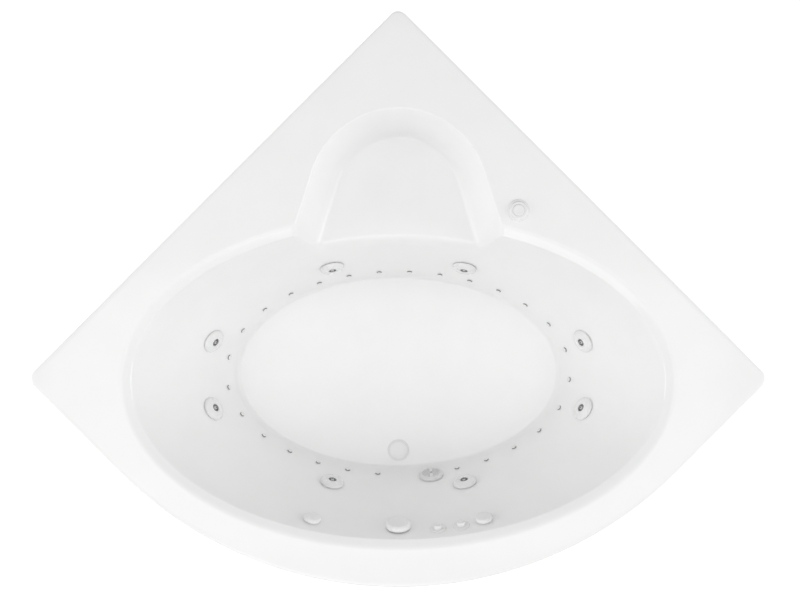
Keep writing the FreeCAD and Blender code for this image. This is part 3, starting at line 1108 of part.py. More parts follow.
knob_cap = turned("knob_cap", [
    ("spindle_radius", "overflow_knob_stand + overflow_boss_stand"),
    ("spindle_boss_radius", "overflow_knob_stand + overflow_boss_stand"),
    ("spindle_boss_radius", knob_roof),
    ("overflow_knob_radius - overflow_knob_wall - overflow_knob_bevel", knob_roof),
    ("overflow_knob_radius - overflow_knob_wall", f"{knob_roof} - overflow_knob_bevel"),
    ("overflow_knob_radius - overflow_knob_wall", "overflow_knob_stand"),
    ("overflow_knob_radius", "overflow_knob_stand"),
    ("overflow_knob_radius", f"{knob_top} - overflow_knob_edge"),
    ("overflow_knob_radius - overflow_knob_edge", knob_top, "overflow_knob_edge"), ("0", knob_top),
    ("0", knob_roof), ("spindle_radius", knob_roof)], overflow_place)
knob_spindle = turned("knob_spindle", [
    ("0", f"{cup_low} - spindle_tail"), ("spindle_radius", f"{cup_low} - spindle_tail"),
    ("spindle_radius", knob_roof), ("0", knob_roof)], overflow_place)
subparts.append(grouped("overflow_knob", [knob_cap, knob_spindle]))

# ---------------------------------------------------------------- air controls
air_bodies, air_seals = [], []
knob_high = "air_knob_stand + air_knob_height"
air_flange_top = "air_body_seal + air_body_flange_thick"
for hand, place in air_knob_places.items():
    subparts.append(turned(f"air_control_knob_{hand}", [
        ("0", "0 - air_knob_hub_depth"), ("air_knob_hub_radius", "0 - air_knob_hub_depth"),
        ("air_knob_hub_radius", f"{knob_high} - air_knob_wall"),
        ("air_knob_radius - air_knob_wall - air_knob_bevel", f"{knob_high} - air_knob_wall"),
        ("air_knob_radius - air_knob_wall", f"{knob_high} - air_knob_wall - air_knob_bevel"),
        ("air_knob_radius - air_knob_wall", "air_knob_stand"), ("air_knob_radius", "air_knob_stand"),
        ("air_knob_radius", f"{knob_high} - air_knob_wall"),
        ("air_knob_radius - air_knob_wall", knob_high, "air_knob_wall"), ("0", knob_high)], place))
    seal_blank = turned(f"air_seal_{hand}", [
        ("air_body_radius + nut_play", "0 - skin / 2"), ("air_body_flange", "0 - skin / 2"),
        ("air_body_flange", "air_body_seal"), ("air_body_radius + nut_play", "air_body_seal")], place)
    air_seals.append(kept(f"air_gasket_{hand}", seal_blank, basin_space))
    air_bodies.append(turned(f"air_body_{hand}", [
        ("air_body_bore", air_flange_top), ("air_body_bore", "0 - air_body_reach"),
        ("air_body_radius", "0 - air_body_reach"), ("air_body_radius", "air_body_seal"),
        ("air_body_flange", "air_body_seal"), ("air_body_flange", air_flange_top)], place))
subparts.append(grouped("air_control_bodies", air_bodies))
subparts.append(grouped("seals", jet_gaskets + air_seals + [suction_gasket, waste_gasket, overflow_gasket]))
air_pipes = []
for hand, place in air_knob_places.items():
    start = place.multVec(Vector(0, 0, -size("air_body_reach")))
    outward = place.Rotation.multVec(Vector(0, 0, -1))
    knee = start + outward * size("air_pipe_neck")
    target = min((edge for edge in air_line_route.Edges), key=lambda edge: edge.distToShape(
        Part.Vertex(knee))[0])
    meet = target.distToShape(Part.Vertex(knee))[1][0][0]
    route = rounded_route([start, knee, meet], tightest=size("air_pipe_bend_radius"))
    shape = swept(route, size("air_body_bore")).cut(swept(route, size("air_body_bore - air_line_wall")))
    shape = shape.cut(air_line_solid.Shape)
    air_pipes.append(shaped(f"air_pipe_{hand}", max(shape.Solids, key=lambda item: item.Volume)))
subparts.append(grouped("jet_air_line", [air_loop] + air_pipes))


# ---------------------------------------------------------------- push buttons
def push_button(name, place, radius, flange, flange_high, proud, seal, barrel, depth, collar):
    """A round push button in its threaded housing, on a thin seal."""
    button = turned(name, [
        ("0", f"{proud} - switch_length"), (radius, f"{proud} - switch_length"),
        (radius, f"{proud} - switch_edge"), (f"{radius} - switch_edge", proud, "switch_edge"),
        ("0", proud)], place)
    housing = turned(name + "_housing_form", [
        (f"{radius} + switch_play", f"{seal} + {flange_high}")] + collar + [
        (flange, f"{seal} + {flange_high} - switch_flange_edge"), (flange, seal), (barrel, seal),
        (barrel, f"0 - {depth}"), ("0", f"0 - {depth}"), ("0", f"switch_floor - {depth}"),
        (f"{radius} + switch_play", f"switch_floor - {depth}")], place)
    nut = turned(name + "_nut", [
        (f"{barrel} + nut_play", "0 - skin - face_gap - jet_nut_thick"),
        (f"{barrel} + switch_nut_wall", "0 - skin - face_gap - jet_nut_thick"),
        (f"{barrel} + switch_nut_wall", "0 - skin - face_gap"),
        (f"{barrel} + nut_play", "0 - skin - face_gap")], place)
    return button, housing, nut


switch_housings, switch_nuts = [], jet_nuts + [suction_nut]
for name, place in switch_places.items():
    button, housing, nut = push_button(
        name, place, "switch_radius", "switch_flange_radius", "switch_flange_thick", "switch_proud",
        "switch_seal", "switch_barrel_radius", "switch_barrel_depth",
        [("switch_flange_radius - switch_collar_inset", "switch_seal + switch_flange_thick")])
    subparts.append(button)
    switch_housings.append(housing)
    switch_nuts.append(nut)
deck_button, deck_housing, deck_nut = push_button(
    "deck_button", deck_switch_place, "deck_switch_radius", "deck_flange_radius", "deck_flange_thick",
    "deck_switch_proud", "flange_gap", "deck_barrel_radius", "deck_barrel_depth",
    [("deck_switch_radius + switch_play", "deck_bezel_height"),
     ("deck_bezel_radius - deck_bezel_edge", "deck_bezel_height"),
     ("deck_bezel_radius", "deck_bezel_height - deck_bezel_side", "0 - deck_bezel_arc"),
     ("deck_bezel_radius", "flange_gap + deck_flange_thick"),
     ("deck_flange_radius - switch_flange_edge", "flange_gap + deck_flange_thick")])
subparts.append(deck_button)
subparts.append(grouped("button_housings", switch_housings + [deck_housing]))
switch_nuts.append(deck_nut)
subparts.append(grouped("lock_nuts", switch_nuts))

# ---------------------------------------------------------------- control box
box_corner = ("0 - box_place - box_length / 2", "0 - box_front", "board_thick")
box_outer = block("box_outer", "box_length", "box_width", "box_height", box_corner)
box_inner = block("box_inner", "box_length - 2 * box_wall", "box_width - 2 * box_wall",
                  "box_height - 2 * box_wall", (
                      box_corner[0] + " + box_wall", box_corner[1] + " + box_wall",
                      box_corner[2] + " + box_wall"))
gland_spot = Vector(-size("box_place"), -size("box_front"), size("board_thick + box_height / 2"))
gland_hole = rod("gland_hole", "gland_radius - gland_wall", "box_width / 2", Placement(
    gland_spot, Rotation(Vector(1, 0, 0), -90)))
subparts.append(cut("control_box", cut("box_hollow", box_outer, box_inner), gland_hole))
subparts.append(turned("cable_gland", [
    ("gland_radius - gland_wall", "seat_gap"), ("gland_radius", "seat_gap"),
    ("gland_radius", "gland_length - gland_nose"), ("gland_radius - gland_taper", "gland_length"),
    ("gland_radius - gland_wall", "gland_length")],
    Placement(gland_spot, Rotation(Vector(1, 0, 0), 90))))

# ---------------------------------------------------------------- write each piece
for piece in subparts:
    shape = piece.Shape
    if "Invalid" in piece.State or "Error" in piece.State or shape.isNull() or not shape.isValid():
        raise SystemExit(f"{piece.Label} is not sound")
    shape.exportStep(f"parts/{piece.Label}.step")
    print(piece.Label, len(shape.Solids), round(shape.Volume / 1000))
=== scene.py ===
import math

import bmesh
import bpy
import numpy as np
from mathutils import Matrix, Vector


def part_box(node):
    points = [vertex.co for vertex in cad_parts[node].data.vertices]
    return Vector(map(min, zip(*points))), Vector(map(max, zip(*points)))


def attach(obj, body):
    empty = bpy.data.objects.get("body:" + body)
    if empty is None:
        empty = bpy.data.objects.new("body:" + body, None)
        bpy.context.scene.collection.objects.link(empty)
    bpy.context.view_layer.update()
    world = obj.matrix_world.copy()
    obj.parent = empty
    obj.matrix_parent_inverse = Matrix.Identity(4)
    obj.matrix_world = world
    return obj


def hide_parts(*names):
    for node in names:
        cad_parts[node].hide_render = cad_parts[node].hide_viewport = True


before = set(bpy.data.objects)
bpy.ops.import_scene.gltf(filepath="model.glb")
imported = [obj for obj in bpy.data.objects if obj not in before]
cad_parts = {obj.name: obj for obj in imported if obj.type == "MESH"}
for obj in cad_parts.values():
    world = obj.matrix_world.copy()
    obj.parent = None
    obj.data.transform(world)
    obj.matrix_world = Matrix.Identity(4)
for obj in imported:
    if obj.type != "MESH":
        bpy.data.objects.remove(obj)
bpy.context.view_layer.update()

# ------------------------------------------------------------------ moulded shell
# One sheet of cast acrylic, drawn over a mould while hot and backed with glass fibre and
# resin: a flat deck with a turned-down lip, an oval basin with a shallow band round its
# top, and a round-backed seat pressed into the corner behind it.
skin = 0.006
side_length = 1.524
front_radius = 1.143
corner_radius = 0.030
edge_round = 0.007
lip_height = 0.038
lip_chamfer = 0.001
basin_middle = Vector((0, -0.2388))
basin_depth = 0.440
basin_half = (0.776, 0.459)
floor_half = (0.5269, 0.3124)
floor_fillet = 0.018
band_depth, band_width, band_blend = 0.015, 0.025, 0.003
band_reach = 0.2         # deeper than this the band's slope would meet itself
seat_depth = 0.130
seat_front = 0.100       # how far north the seat's front corners are
seat_from = 0.0          # no part of the seat lies south of this
seat_rim = (0.2623, 0.2907, 0.335)        # radius of the back, its middle, half the front
seat_foot = (0.1944, 0.2976, 0.263)
seat_fillet = 0.026
wall_roll, seat_roll, roll_power = 0.014, 0.046, 8
deck_blend = 0.005
shell_low, shell_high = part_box("tub_shell")
deck_level = shell_high.z
front_to_middle = -shell_low.y
wall_slopes = [(wide - narrow) / (basin_depth - band_depth) for wide, narrow in zip(basin_half, floor_half)]


def halves_at(depth):
    """Half the length and half the width of the tapering basin at a depth."""
    return [half - slope * (depth - band_depth) for half, slope in zip(basin_half, wall_slopes)]


def halved(low, high, too_far, times=30):
    """The place where a test turns true, found by halving, for many points at once."""
    for _ in range(times):
        middle = (low + high) / 2
        far = too_far(middle)
        low, high = np.where(far, low, middle), np.where(far, middle, high)
    return (low + high) / 2


def oval_depth(east, north, top, slopes, shallowest=-0.3, deepest=1.1):
    """Depth at which a tapering oval passes through a point of the plan."""
    def outside(depth):
        return (east / (top[0] - slopes[0] * depth)) ** 2 + (north / (top[1] - slopes[1] * depth)) ** 2 > 1
    return halved(np.full_like(east, shallowest), np.full_like(east, deepest), outside)


def seat_inset(east, north, radius, centre, half_front):
    """How far inside the seat's round-backed outline a point lies."""
    far = (half_front, seat_front - centre)
    splay = math.atan2(far[1], far[0]) + math.acos(radius / math.hypot(*far))
    across, up = np.abs(east), north - centre
    in_arc = np.arctan2(up, across) >= splay
    return radius - np.where(in_arc, np.hypot(across, up), across * math.cos(splay) + up * math.sin(splay))


def deeper(one, other, blend):
    """The larger of two depths, run together over a short blend."""
    share = np.maximum(blend - np.abs(one - other), 0) / blend
    return np.maximum(one, other) + share ** 2 * blend / 4


def shallower(one, other, blend):
    """The smaller of two depths, run together over a short blend."""
    return -deeper(-one, -other, blend)


def moulding_depth(east, north):
    """Depth of the moulded face below the deck."""
    along = north - basin_middle.y
    wall = oval_depth(east, along, halves_at(0), wall_slopes)
    band_top = [half + band_width for half in basin_half]
    band = np.minimum(oval_depth(east, along, band_top, [band_width / band_depth] * 2), band_reach)
    bowl = shallower(deeper(wall, band, band_blend), basin_depth, floor_fillet)
    rim, foot = seat_inset(east, north, *seat_rim), seat_inset(east, north, *seat_foot)
    seat = shallower(seat_depth * rim / (rim - foot), seat_depth, seat_fillet)
    seat = np.where(north > seat_from, seat, -1.0)
    roll = wall_roll + (seat_roll - wall_roll) * np.clip(seat / seat_depth, 0, 1) ** roll_power
    return deeper(deeper(bowl, seat, roll), 0.0, deck_blend)


def outline_gap(east, north):
    """Signed distance outside the square plan with its large rounded front."""
    lift = north + front_to_middle + front_radius * (math.sqrt(2) - 1)
    left, right = (lift - east) / math.sqrt(2), (lift + east) / math.sqrt(2)
    front = (left < front_radius) & (right < front_radius)
    arc = np.hypot(front_radius - left, front_radius - right) - front_radius
    over = [np.abs(item - side_length / 2) - side_length / 2 + corner_radius for item in (left, right)]
    square = np.hypot(*[np.maximum(item, 0) for item in over]) - corner_radius
    square = square + np.minimum(np.maximum(*over), 0)
    return np.where(front, arc, square)


def slopes_of(surface, east, north, step=0.0004):
    """How fast a surface changes eastward and northward."""
    return ((surface(east + step, north) - surface(east - step, north)) / (2 * step),
            (surface(east, north + step) - surface(east, north - step)) / (2 * step))


def spread(middle, end, count, samples=900, smoothing=6, crowding=2.2):
    """Places along rays from the middle, crowded where the moulding bends."""
    fine = np.linspace(0, 1, samples)[:, None]
    path = middle[:, None] + (end - middle)[:, None] * fine
    bend = np.abs(np.gradient(np.gradient(moulding_depth(*path), axis=0), axis=0))
    shifted = [np.roll(bend, shift, axis=0) for shift in range(-smoothing, smoothing + 1)]
    bend = sum(shifted) / len(shifted)
    weight = np.cumsum(1 + crowding * bend / bend.mean(), axis=0)
    weight = (weight - weight[0]) / (weight[-1] - weight[0])
    wanted = np.linspace(0, 1, count + 1)[1:]
    share = np.stack([np.interp(wanted, column, fine[:, 0]) for column in weight.T], axis=1)
    return middle[:, None] + (end - middle)[:, None] * share


def rim_along(middle, ray, nearest=0.3, farthest=1.6):
    """Where rays from the middle meet the outline, and the way square out of it there."""
    reach = halved(np.full_like(ray[0], nearest), np.full_like(ray[0], farthest),
                   lambda tried: outline_gap(*(middle + ray * tried)) > 0)
    rim = middle + ray * reach
    square_out = np.array(slopes_of(outline_gap, *rim))
    return rim, square_out / np.hypot(*square_out)


def upper_face(east, north):
    """Points on the moulded face."""
    return np.array([east, north, deck_level - moulding_depth(east, north)])


def under_face(east, north):
    """Points under the moulded face, the skin's thickness square to it."""
    lean = slopes_of(moulding_depth, east, north)
    length = np.sqrt(lean[0] ** 2 + lean[1] ** 2 + 1)
    height = deck_level - moulding_depth(east, north)
    return np.array([east - skin * lean[0] / length, north - skin * lean[1] / length,
                     height - skin / length])


rim_turns = (22, 45, 68, 90)
under_round, under_margin = 0.003, 0.010
lip_foot = deck_level - lip_height
lip_outside = [(edge_round * (1 - math.sin(turn)), deck_level - edge_round * (1 - math.cos(turn)))
               for turn in np.radians(rim_turns)]
lip_outside += [(0, lip_foot + lip_chamfer), (lip_chamfer, lip_foot), (skin - lip_chamfer, lip_foot)]
lip_inside = [(skin, lip_foot + lip_chamfer), (skin, deck_level - skin - under_round),
              (skin + under_round, deck_level - skin)]
seat_sector = (30, 150)
rays_each, upper_rings, under_rings = 420, 190, 120


def shell_mesh():
    """Rings of points from the basin's middle out over the lip and back underneath. Half
    the rays go to the sector of the seat, which has more bends."""
    first, last = seat_sector
    turns = np.radians(np.concatenate([np.linspace(first, last, rays_each, endpoint=False),
                                       np.linspace(last, first + 360, rays_each, endpoint=False)]))
    middle = np.array(basin_middle)[:, None]
    rim, square_out = rim_along(middle, np.array([np.cos(turns), np.sin(turns)]))
    upper = spread(middle, rim - square_out * edge_round, upper_rings)
    under = spread(middle, rim - square_out * (skin + under_margin), under_rings)[:, ::-1]
    rings = [upper_face(*upper[:, row]) for row in range(upper_rings)]
    for inset, height in lip_outside + lip_inside:
        rings.append(np.array([*(rim - square_out * inset), np.full_like(turns, height)]))
    rings += [under_face(*under[:, row]) for row in range(under_rings)]
    count = len(turns)
    top = (*basin_middle, deck_level - basin_depth)
    low = (*basin_middle, deck_level - basin_depth - skin)
    points = np.concatenate([ring.T for ring in rings] + [[top, low]])
    step = np.arange(count)
    after = (step + 1) % count
    faces = [[len(points) - 2, a, b] for a, b in zip(step, after)]
    for ring in range(len(rings) - 1):
        inner, outer = ring * count, (ring + 1) * count
        faces += np.stack([inner + step, outer + step, outer + after, inner + after], axis=1).tolist()
    last_ring = (len(rings) - 1) * count
    faces += [[len(points) - 1, last_ring + b, last_ring + a] for a, b in zip(step, after)]
    mesh = bpy.data.meshes.new("moulded_shell")
    mesh.from_pydata(points.tolist(), [], faces)
    backing = np.zeros(len(faces), np.int32)
    backing[count * (1 + upper_rings + len(lip_outside)):] = 1
    mesh.polygons.foreach_set("material_index", backing)
    return mesh


def placed(name, mesh, finishes, body, slot, *nodes):
    """A finished piece of the bath, on the body that carries it, in place of its CAD nodes."""
    piece = bpy.data.objects.new(name, mesh)
    bpy.context.scene.collection.objects.link(piece)
    for finish in finishes:
        mesh.materials.append(finish)
    mesh.shade_smooth()
    sharp_from = math.radians(35)
    mesh.set_sharp_from_angle(angle=sharp_from)
    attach(piece, body)
    if nodes:
        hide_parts(*nodes)
    return piece


def new_finish(name):
    """A named material, its node tree and its main shader."""
    finish = bpy.data.materials.new(name)
    finish.use_nodes = True
    return finish, finish.node_tree, finish.node_tree.nodes["Principled BSDF"]


def drawn_out(tree, stretch, turn=(0, 0, 0)):
    """Places on the object, drawn out along its axes, for a pattern to follow."""
    place = tree.nodes.new("ShaderNodeTexCoord")
    drawn = tree.nodes.new("ShaderNodeMapping")
    drawn.inputs["Scale"].default_value = stretch
    drawn.inputs["Rotation"].default_value = turn
    tree.links.new(place.outputs["Object"], drawn.inputs["Vector"])
    return drawn.outputs["Vector"]


def grain(tree, scale, detail=4.0, stretch=(1, 1, 1)):
    """Even noise fixed to the object."""
    noise = tree.nodes.new("ShaderNodeTexNoise")
    noise.inputs["Scale"].default_value = scale
    noise.inputs["Detail"].default_value = detail
    tree.links.new(drawn_out(tree, stretch), noise.inputs["Vector"])
    return noise.outputs["Fac"]


def worked(tree, operation, *terms):
    """A sum on patterns, each term a socket or a number."""
    node = tree.nodes.new("ShaderNodeMath")
    node.operation = operation
    for entry, term in zip(node.inputs, terms):
        if isinstance(term, bpy.types.NodeSocket):
            tree.links.new(term, entry)
        else:
            entry.default_value = term
    return node.outputs[0]


def toned(tree, source, target, deep, pale, low=0.3, high=0.7):
    """Colours run between two tones by a pattern."""
    ramp = tree.nodes.new("ShaderNodeValToRGB")
    ramp.color_ramp.elements[0].position = low
    ramp.color_ramp.elements[1].position = high
    ramp.color_ramp.elements[0].color = (*deep, 1)
    ramp.color_ramp.elements[1].color = (*pale, 1)
    tree.links.new(source, ramp.inputs["Fac"])
    tree.links.new(ramp.outputs["Color"], target)


def ranged(tree, source, target, low, high):
    """A noise, whose values keep near the middle, turned into a small range of one value."""
    scale = tree.nodes.new("ShaderNodeMapRange")
    scale.inputs["From Min"].default_value = 0.3
    scale.inputs["From Max"].default_value = 0.7
    scale.inputs["To Min"].default_value = low
    scale.inputs["To Max"].default_value = high
    tree.links.new(source, scale.inputs["Value"])
    tree.links.new(scale.outputs["Result"], target)


def raised(tree, source, shader, strength, distance):
    """Relief from a pattern."""
    bump = tree.nodes.new("ShaderNodeBump")
    bump.inputs["Strength"].default_value = strength
    bump.inputs["Distance"].default_value = distance
    tree.links.new(source, bump.inputs["Height"])
    tree.links.new(bump.outputs["Normal"], shader.inputs["Normal"])


def moulded(name, deep, pale, gloss, texture, relief):
    """Moulded plastic: faint flow marks in its tone, uneven polish and a fine skin."""
    finish, tree, shader = new_finish(name)
    toned(tree, grain(tree, 9.0, 5.0), shader.inputs["Base Color"], deep, pale)
    ranged(tree, grain(tree, 40.0, 6.0), shader.inputs["Roughness"], *gloss)
    raised(tree, grain(tree, texture, 3.0), shader, relief, 0.0006)
    return finish


def glass_fibre(name):
    """Chopped strands wetted out with pale resin, rough to the touch."""
    finish, tree, shader = new_finish(name)
    strands = tree.nodes.new("ShaderNodeTexVoronoi")
    strands.feature = "DISTANCE_TO_EDGE"
    strands.inputs["Scale"].default_value = 95.0
    tree.links.new(drawn_out(tree, (1.0, 0.28, 0.6), (0.3, 0.5, 0.7)), strands.inputs["Vector"])
    mat = worked(tree, "MULTIPLY_ADD", strands.outputs["Distance"], 0.9, grain(tree, 14.0, 8.0))
    toned(tree, mat, shader.inputs["Base Color"], (0.50, 0.47, 0.37), (0.74, 0.72, 0.63), 0.3, 0.9)
    ranged(tree, grain(tree, 25.0, 6.0), shader.inputs["Roughness"], 0.35, 0.65)
    raised(tree, mat, shader, 0.55, 0.0012)
    return finish


acrylic = moulded("polished_acrylic", deep=(0.925, 0.925, 0.923), pale=(0.940, 0.940, 0.939),
                  gloss=(0.09, 0.13), texture=55.0, relief=0.02)
acrylic.node_tree.nodes["Principled BSDF"].inputs["IOR"].default_value = 1.49
fibre = glass_fibre("glass_fibre_backing")


def wall_spot(angle, depth):
    """A place on the basin wall, its Z axis into the basin and its X axis level."""
    halves = halves_at(depth)
    turn = math.radians(angle)
    east, north = halves[0] * math.cos(turn), halves[1] * math.sin(turn)
    rise = sum(reach ** 2 * slope / half ** 3
               for reach, slope, half in zip((east, north), wall_slopes, halves))
    inward = Vector((-east / halves[0] ** 2, -north / halves[1] ** 2, rise))
    inward.normalize()
    level = Vector((-inward.y, inward.x, 0)).normalized()
    spot = Matrix((level, inward.cross(level), inward)).transposed().to_4x4()
    spot.translation = (east, basin_middle.y + north, deck_level - depth)
    return spot


jet_side, jet_front, jet_depth = 17.3, 70.0, 0.293
jet_angles = (-jet_side, jet_side, jet_front, 180 - jet_front,
              180 - jet_side, 180 + jet_side, 180 + jet_front, -jet_front)
jet_spots = [wall_spot(angle, jet_depth) for angle in jet_angles]
suction_spot = wall_spot(angle=-79.2, depth=0.369)
overflow_spot = wall_spot(angle=-90, depth=0.077)
air_knob_spots = {"left": wall_spot(angle=250, depth=0.068), "right": wall_spot(angle=-70, depth=0.068)}
wall_button_spots = {"wall_button_1": wall_spot(angle=-81, depth=0.061),
                     "wall_button_2": wall_spot(angle=-75.6, depth=0.061)}
deck_button_place, drain_place = (0.348, 0.2566), (0, -0.4957)
deck_spot = Matrix.Translation((*deck_button_place, deck_level))
drain_spot = Matrix.Translation((*drain_place, deck_level - basin_depth))
jet_hole, suction_hole, overflow_hole, control_hole = 0.0228, 0.0278, 0.027, 0.0168
fitting_holes = [(spot, jet_hole) for spot in jet_spots + [drain_spot, deck_spot]]
fitting_holes += [(suction_spot, suction_hole), (overflow_spot, overflow_hole)]
fitting_holes += [(spot, control_hole) for spot in [*air_knob_spots.values(), *wall_button_spots.values()]]
shell = placed("moulded_shell", shell_mesh(), [acrylic, fibre], "root", "white_acrylic", "tub_shell")
drill_length, drill_sides = 0.05, 64
drills = bmesh.new()
for spot, radius in fitting_holes:
    bmesh.ops.create_cone(drills, cap_ends=True, segments=drill_sides, radius1=radius, radius2=radius,
                          depth=drill_length, matrix=spot)
drill_mesh = bpy.data.meshes.new("drills")
drills.to_mesh(drill_mesh)
drills.free()
drill = bpy.data.objects.new("drills", drill_mesh)
bpy.context.scene.collection.objects.link(drill)
cut = shell.modifiers.new("holes", "BOOLEAN")
cut.operation, cut.solver, cut.object = "DIFFERENCE", "EXACT", drill
bpy.context.view_layer.update()
cut_mesh = bpy.data.meshes.new_from_object(shell.evaluated_get(bpy.context.evaluated_depsgraph_get()))
shell.modifiers.remove(cut)
shell.data = cut_mesh
bpy.data.objects.remove(drill)

# ------------------------------------------------------------------ water jets
# Eight jets in the basin wall: a low domed ring that turns, over a wall body, and in it a
# ball nozzle with a recessed cup and a short spout. Injection moulded white plastic; the
# ball and its cup are grey, a painted shade for the dark hollow of the cup.
near_nothing, weld_distance = 1e-6, 1e-7
most_of_side = 0.49


def eased(corners, steps=5):
    """An outline of (radius, height, rounding, mark), its corners rounded off by no more
    than nearly half of each side. The rounding and the mark may be left out."""
    corners = [(*corner, *(0, "")[len(corner) - 2:]) for corner in corners]
    outline = []
    for before, (radius, height, rounding, mark), after in zip(
            corners[-1:] + corners[:-1], corners, corners[1:] + corners[:1]):
        corner = Vector((radius, height))
        back, on = Vector(before[:2]) - corner, Vector(after[:2]) - corner
        if not rounding or back.length < near_nothing or on.length < near_nothing:
            outline.append((radius, height, mark))
            continue
        half = back.angle(on) / 2
        reach = min(rounding / math.tan(half), most_of_side * back.length, most_of_side * on.length)
        first, last = corner + back.normalized() * reach, corner + on.normalized() * reach
        for step in range(steps + 1):
            share = step / steps
            point = first * (1 - share) ** 2 + corner * 2 * share * (1 - share) + last * share ** 2
            outline.append((point.x, point.y, mark))
    return outline


def turned_mesh(name, corners, spots, around=72, forms=None, shades=None, steps=5):
    """An outline in millimetres turned about each spot's axis. A form moves marked points by
    angle, and a shade gives the faces after marked points another finish."""
    outline = eased(corners, steps)
    angles = np.linspace(0, 2 * math.pi, around, endpoint=False)
    rings = []
    for radius, height, mark in outline:
        out, up = np.full(around, float(radius)), np.full(around, float(height))
        if forms and mark in forms:
            out, up = forms[mark](angles, out, up)
        rings.append(np.stack([out * np.cos(angles), out * np.sin(angles), up], axis=1) / 1000)
    closed = outline[0][0] > near_nothing and outline[-1][0] > near_nothing
    one = np.concatenate(rings)
    step = np.arange(around)
    after = (step + 1) % around
    quads, finish_of = [], []
    for ring in range(len(rings) if closed else len(rings) - 1):
        low, high = ring * around, (ring + 1) % len(rings) * around
        shade = (shades or {}).get(outline[ring][2], 0)
        for a, b in zip(step, after):
            if outline[ring][0] < near_nothing:
                face = [low, high + b, high + a]
            elif outline[(ring + 1) % len(rings)][0] < near_nothing:
                face = [low + a, low + b, high]
            else:
                face = [low + a, low + b, high + b, high + a]
            quads.append([int(item) for item in face])
            finish_of.append(shade(angles[a]) if callable(shade) else shade)
    points, faces = [], []
    for count, spot in enumerate(spots):
        turn, base = np.array(spot.to_3x3()), np.array(spot.translation)
        points.append(one @ turn.T + base)
        faces += [[item + count * len(one) for item in face] for face in quads]
    mesh = bpy.data.meshes.new(name)
    mesh.from_pydata(np.concatenate(points).tolist(), [], faces)
    mesh.polygons.foreach_set("material_index", np.array(finish_of * len(spots), np.int32))
    loose = bmesh.new()
    loose.from_mesh(mesh)
    bmesh.ops.remove_doubles(loose, verts=loose.verts, dist=weld_distance)
    bmesh.ops.recalc_face_normals(loose, faces=loose.faces)
    loose.to_mesh(mesh)
    loose.free()
    return mesh


fitting_white = moulded("fitting_plastic", deep=(0.85, 0.85, 0.85), pale=(0.89, 0.89, 0.89),
                        gloss=(0.20, 0.30), texture=120.0, relief=0.05)
# A grey that paints the shade in the jets' cups and the injectors' slots.
painted_shade_grey = moulded("cup_and_slot_painted_shade", deep=(0.24, 0.24, 0.24), pale=(0.31, 0.31, 0.31),
                      gloss=(0.35, 0.45), texture=120.0, relief=0.08)
ring_outline = [(13.2, -6), (16.6, -6), (16.6, 7.4), (34.4, 7.4), (34.4, 2.9), (38, 2.9, 0.5, "grip"),
                (38, 6.4, 2.2, "grip"), (34.2, 11.4, 4.0), (24, 14.6, 4.0), (22.6, 14.1, 0.5),
                (21.4, 14.7, 0.5), (13.6, 15, 1.0), (12, 13.4, 0.8), (12.05, 11.4), (13.2, 6)]
grip_count, grip_depth = 8, 0.7


def finger_grips(angles, out, up):
    """Shallow hollows round the edge of a ring, to turn it by."""
    return out - grip_depth * np.clip(np.cos(grip_count * angles), 0, 1) ** 3, up


ball_radius, ball_first, ball_last, ball_points = 12.9, 42, 128, 15
ball_turns = np.radians(np.linspace(ball_first, ball_last, ball_points))
ball_arc = [(ball_radius * math.sin(turn), -ball_radius * math.cos(turn)) for turn in ball_turns]
nozzle_outline = [(2.6, -10.1)] + ball_arc + [
    (9.5, 8.7, 0.4), (8.7, 5.0, 1.0), (8.5, 3.0, 1.2), (4.6, 3.0, 0.8, "spout"), (4.3, 9.2, 0.5, "spout"),
    (2.6, 9.4, 0.4), (2.6, 4.0)]
ball_from_wall = 0.006
for number, spot in enumerate(jet_spots, 1):
    ring = turned_mesh("jet_ring", ring_outline, [spot], 96, {"grip": finger_grips})
    placed(f"jet_ring_{number}_shown", ring, [fitting_white],
           f"jet_face_{number}", "white_plastic", f"jet_ring_{number}")
    eye = spot @ Matrix.Translation((0, 0, ball_from_wall))
    # The ball and its cup take the grey finish, painted shade for the dark of the cup; the spout stays
    # white.
    nozzle = turned_mesh("jet_nozzle", nozzle_outline, [eye], 64, shades={"spout": 1})
    placed(f"jet_nozzle_{number}_shown", nozzle, [painted_shade_grey, fitting_white],
           f"jet_eye_{number}", "white_plastic", f"jet_nozzle_{number}")

# ------------------------------------------------------------------ air injectors
# Twenty-seven small caps low on the basin wall, each a dome of white plastic on a
# threaded stem, with a slot under its upper side that the air comes out of; the slot is painted grey as
# shade.
injector_depth, injector_count = 0.390, 27
injector_first, injector_last = -96.9, -70.0


def even_angles(depth, first, last, count, samples=4000):
    """Angles that part the wall between two places into equal lengths."""
    fine = np.radians(np.linspace(last, first + 360, samples))
    halves = halves_at(depth)
    steps = np.hypot(np.diff(np.cos(fine)) * halves[0], np.diff(np.sin(fine)) * halves[1])
    length = np.concatenate([[0], np.cumsum(steps)])
    return np.degrees(np.interp(np.linspace(0, length[-1], count), length, fine))


slot_angle, shaded_angle = 80, 84
slot_radius, short_lip_radius = 4.8, 6.3


def on_upper_side(angles, within):
    """Whether an angle about a cap's axis is near its upper side."""
    return np.abs(np.degrees(np.angle(np.exp(1j * (angles - math.pi / 2))))) < within


def slot_side(angles, out, up):
    """The upper side of a cap is drawn in to leave its slot."""
    return np.where(on_upper_side(angles, slot_angle), np.minimum(out, slot_radius), out), up


def drawn_lip(angles, out, up):
    """Over its slot the dome stops short, so the slot shows from above."""
    return np.where(on_upper_side(angles, slot_angle), np.minimum(out, short_lip_radius), out), up


def slot_painted_shade(angle):
    """The grey finish inside the slot, a painted shade for the dark gap under the cap, and the white one
    elsewhere.
    """
    return int(on_upper_side(angle, shaded_angle))


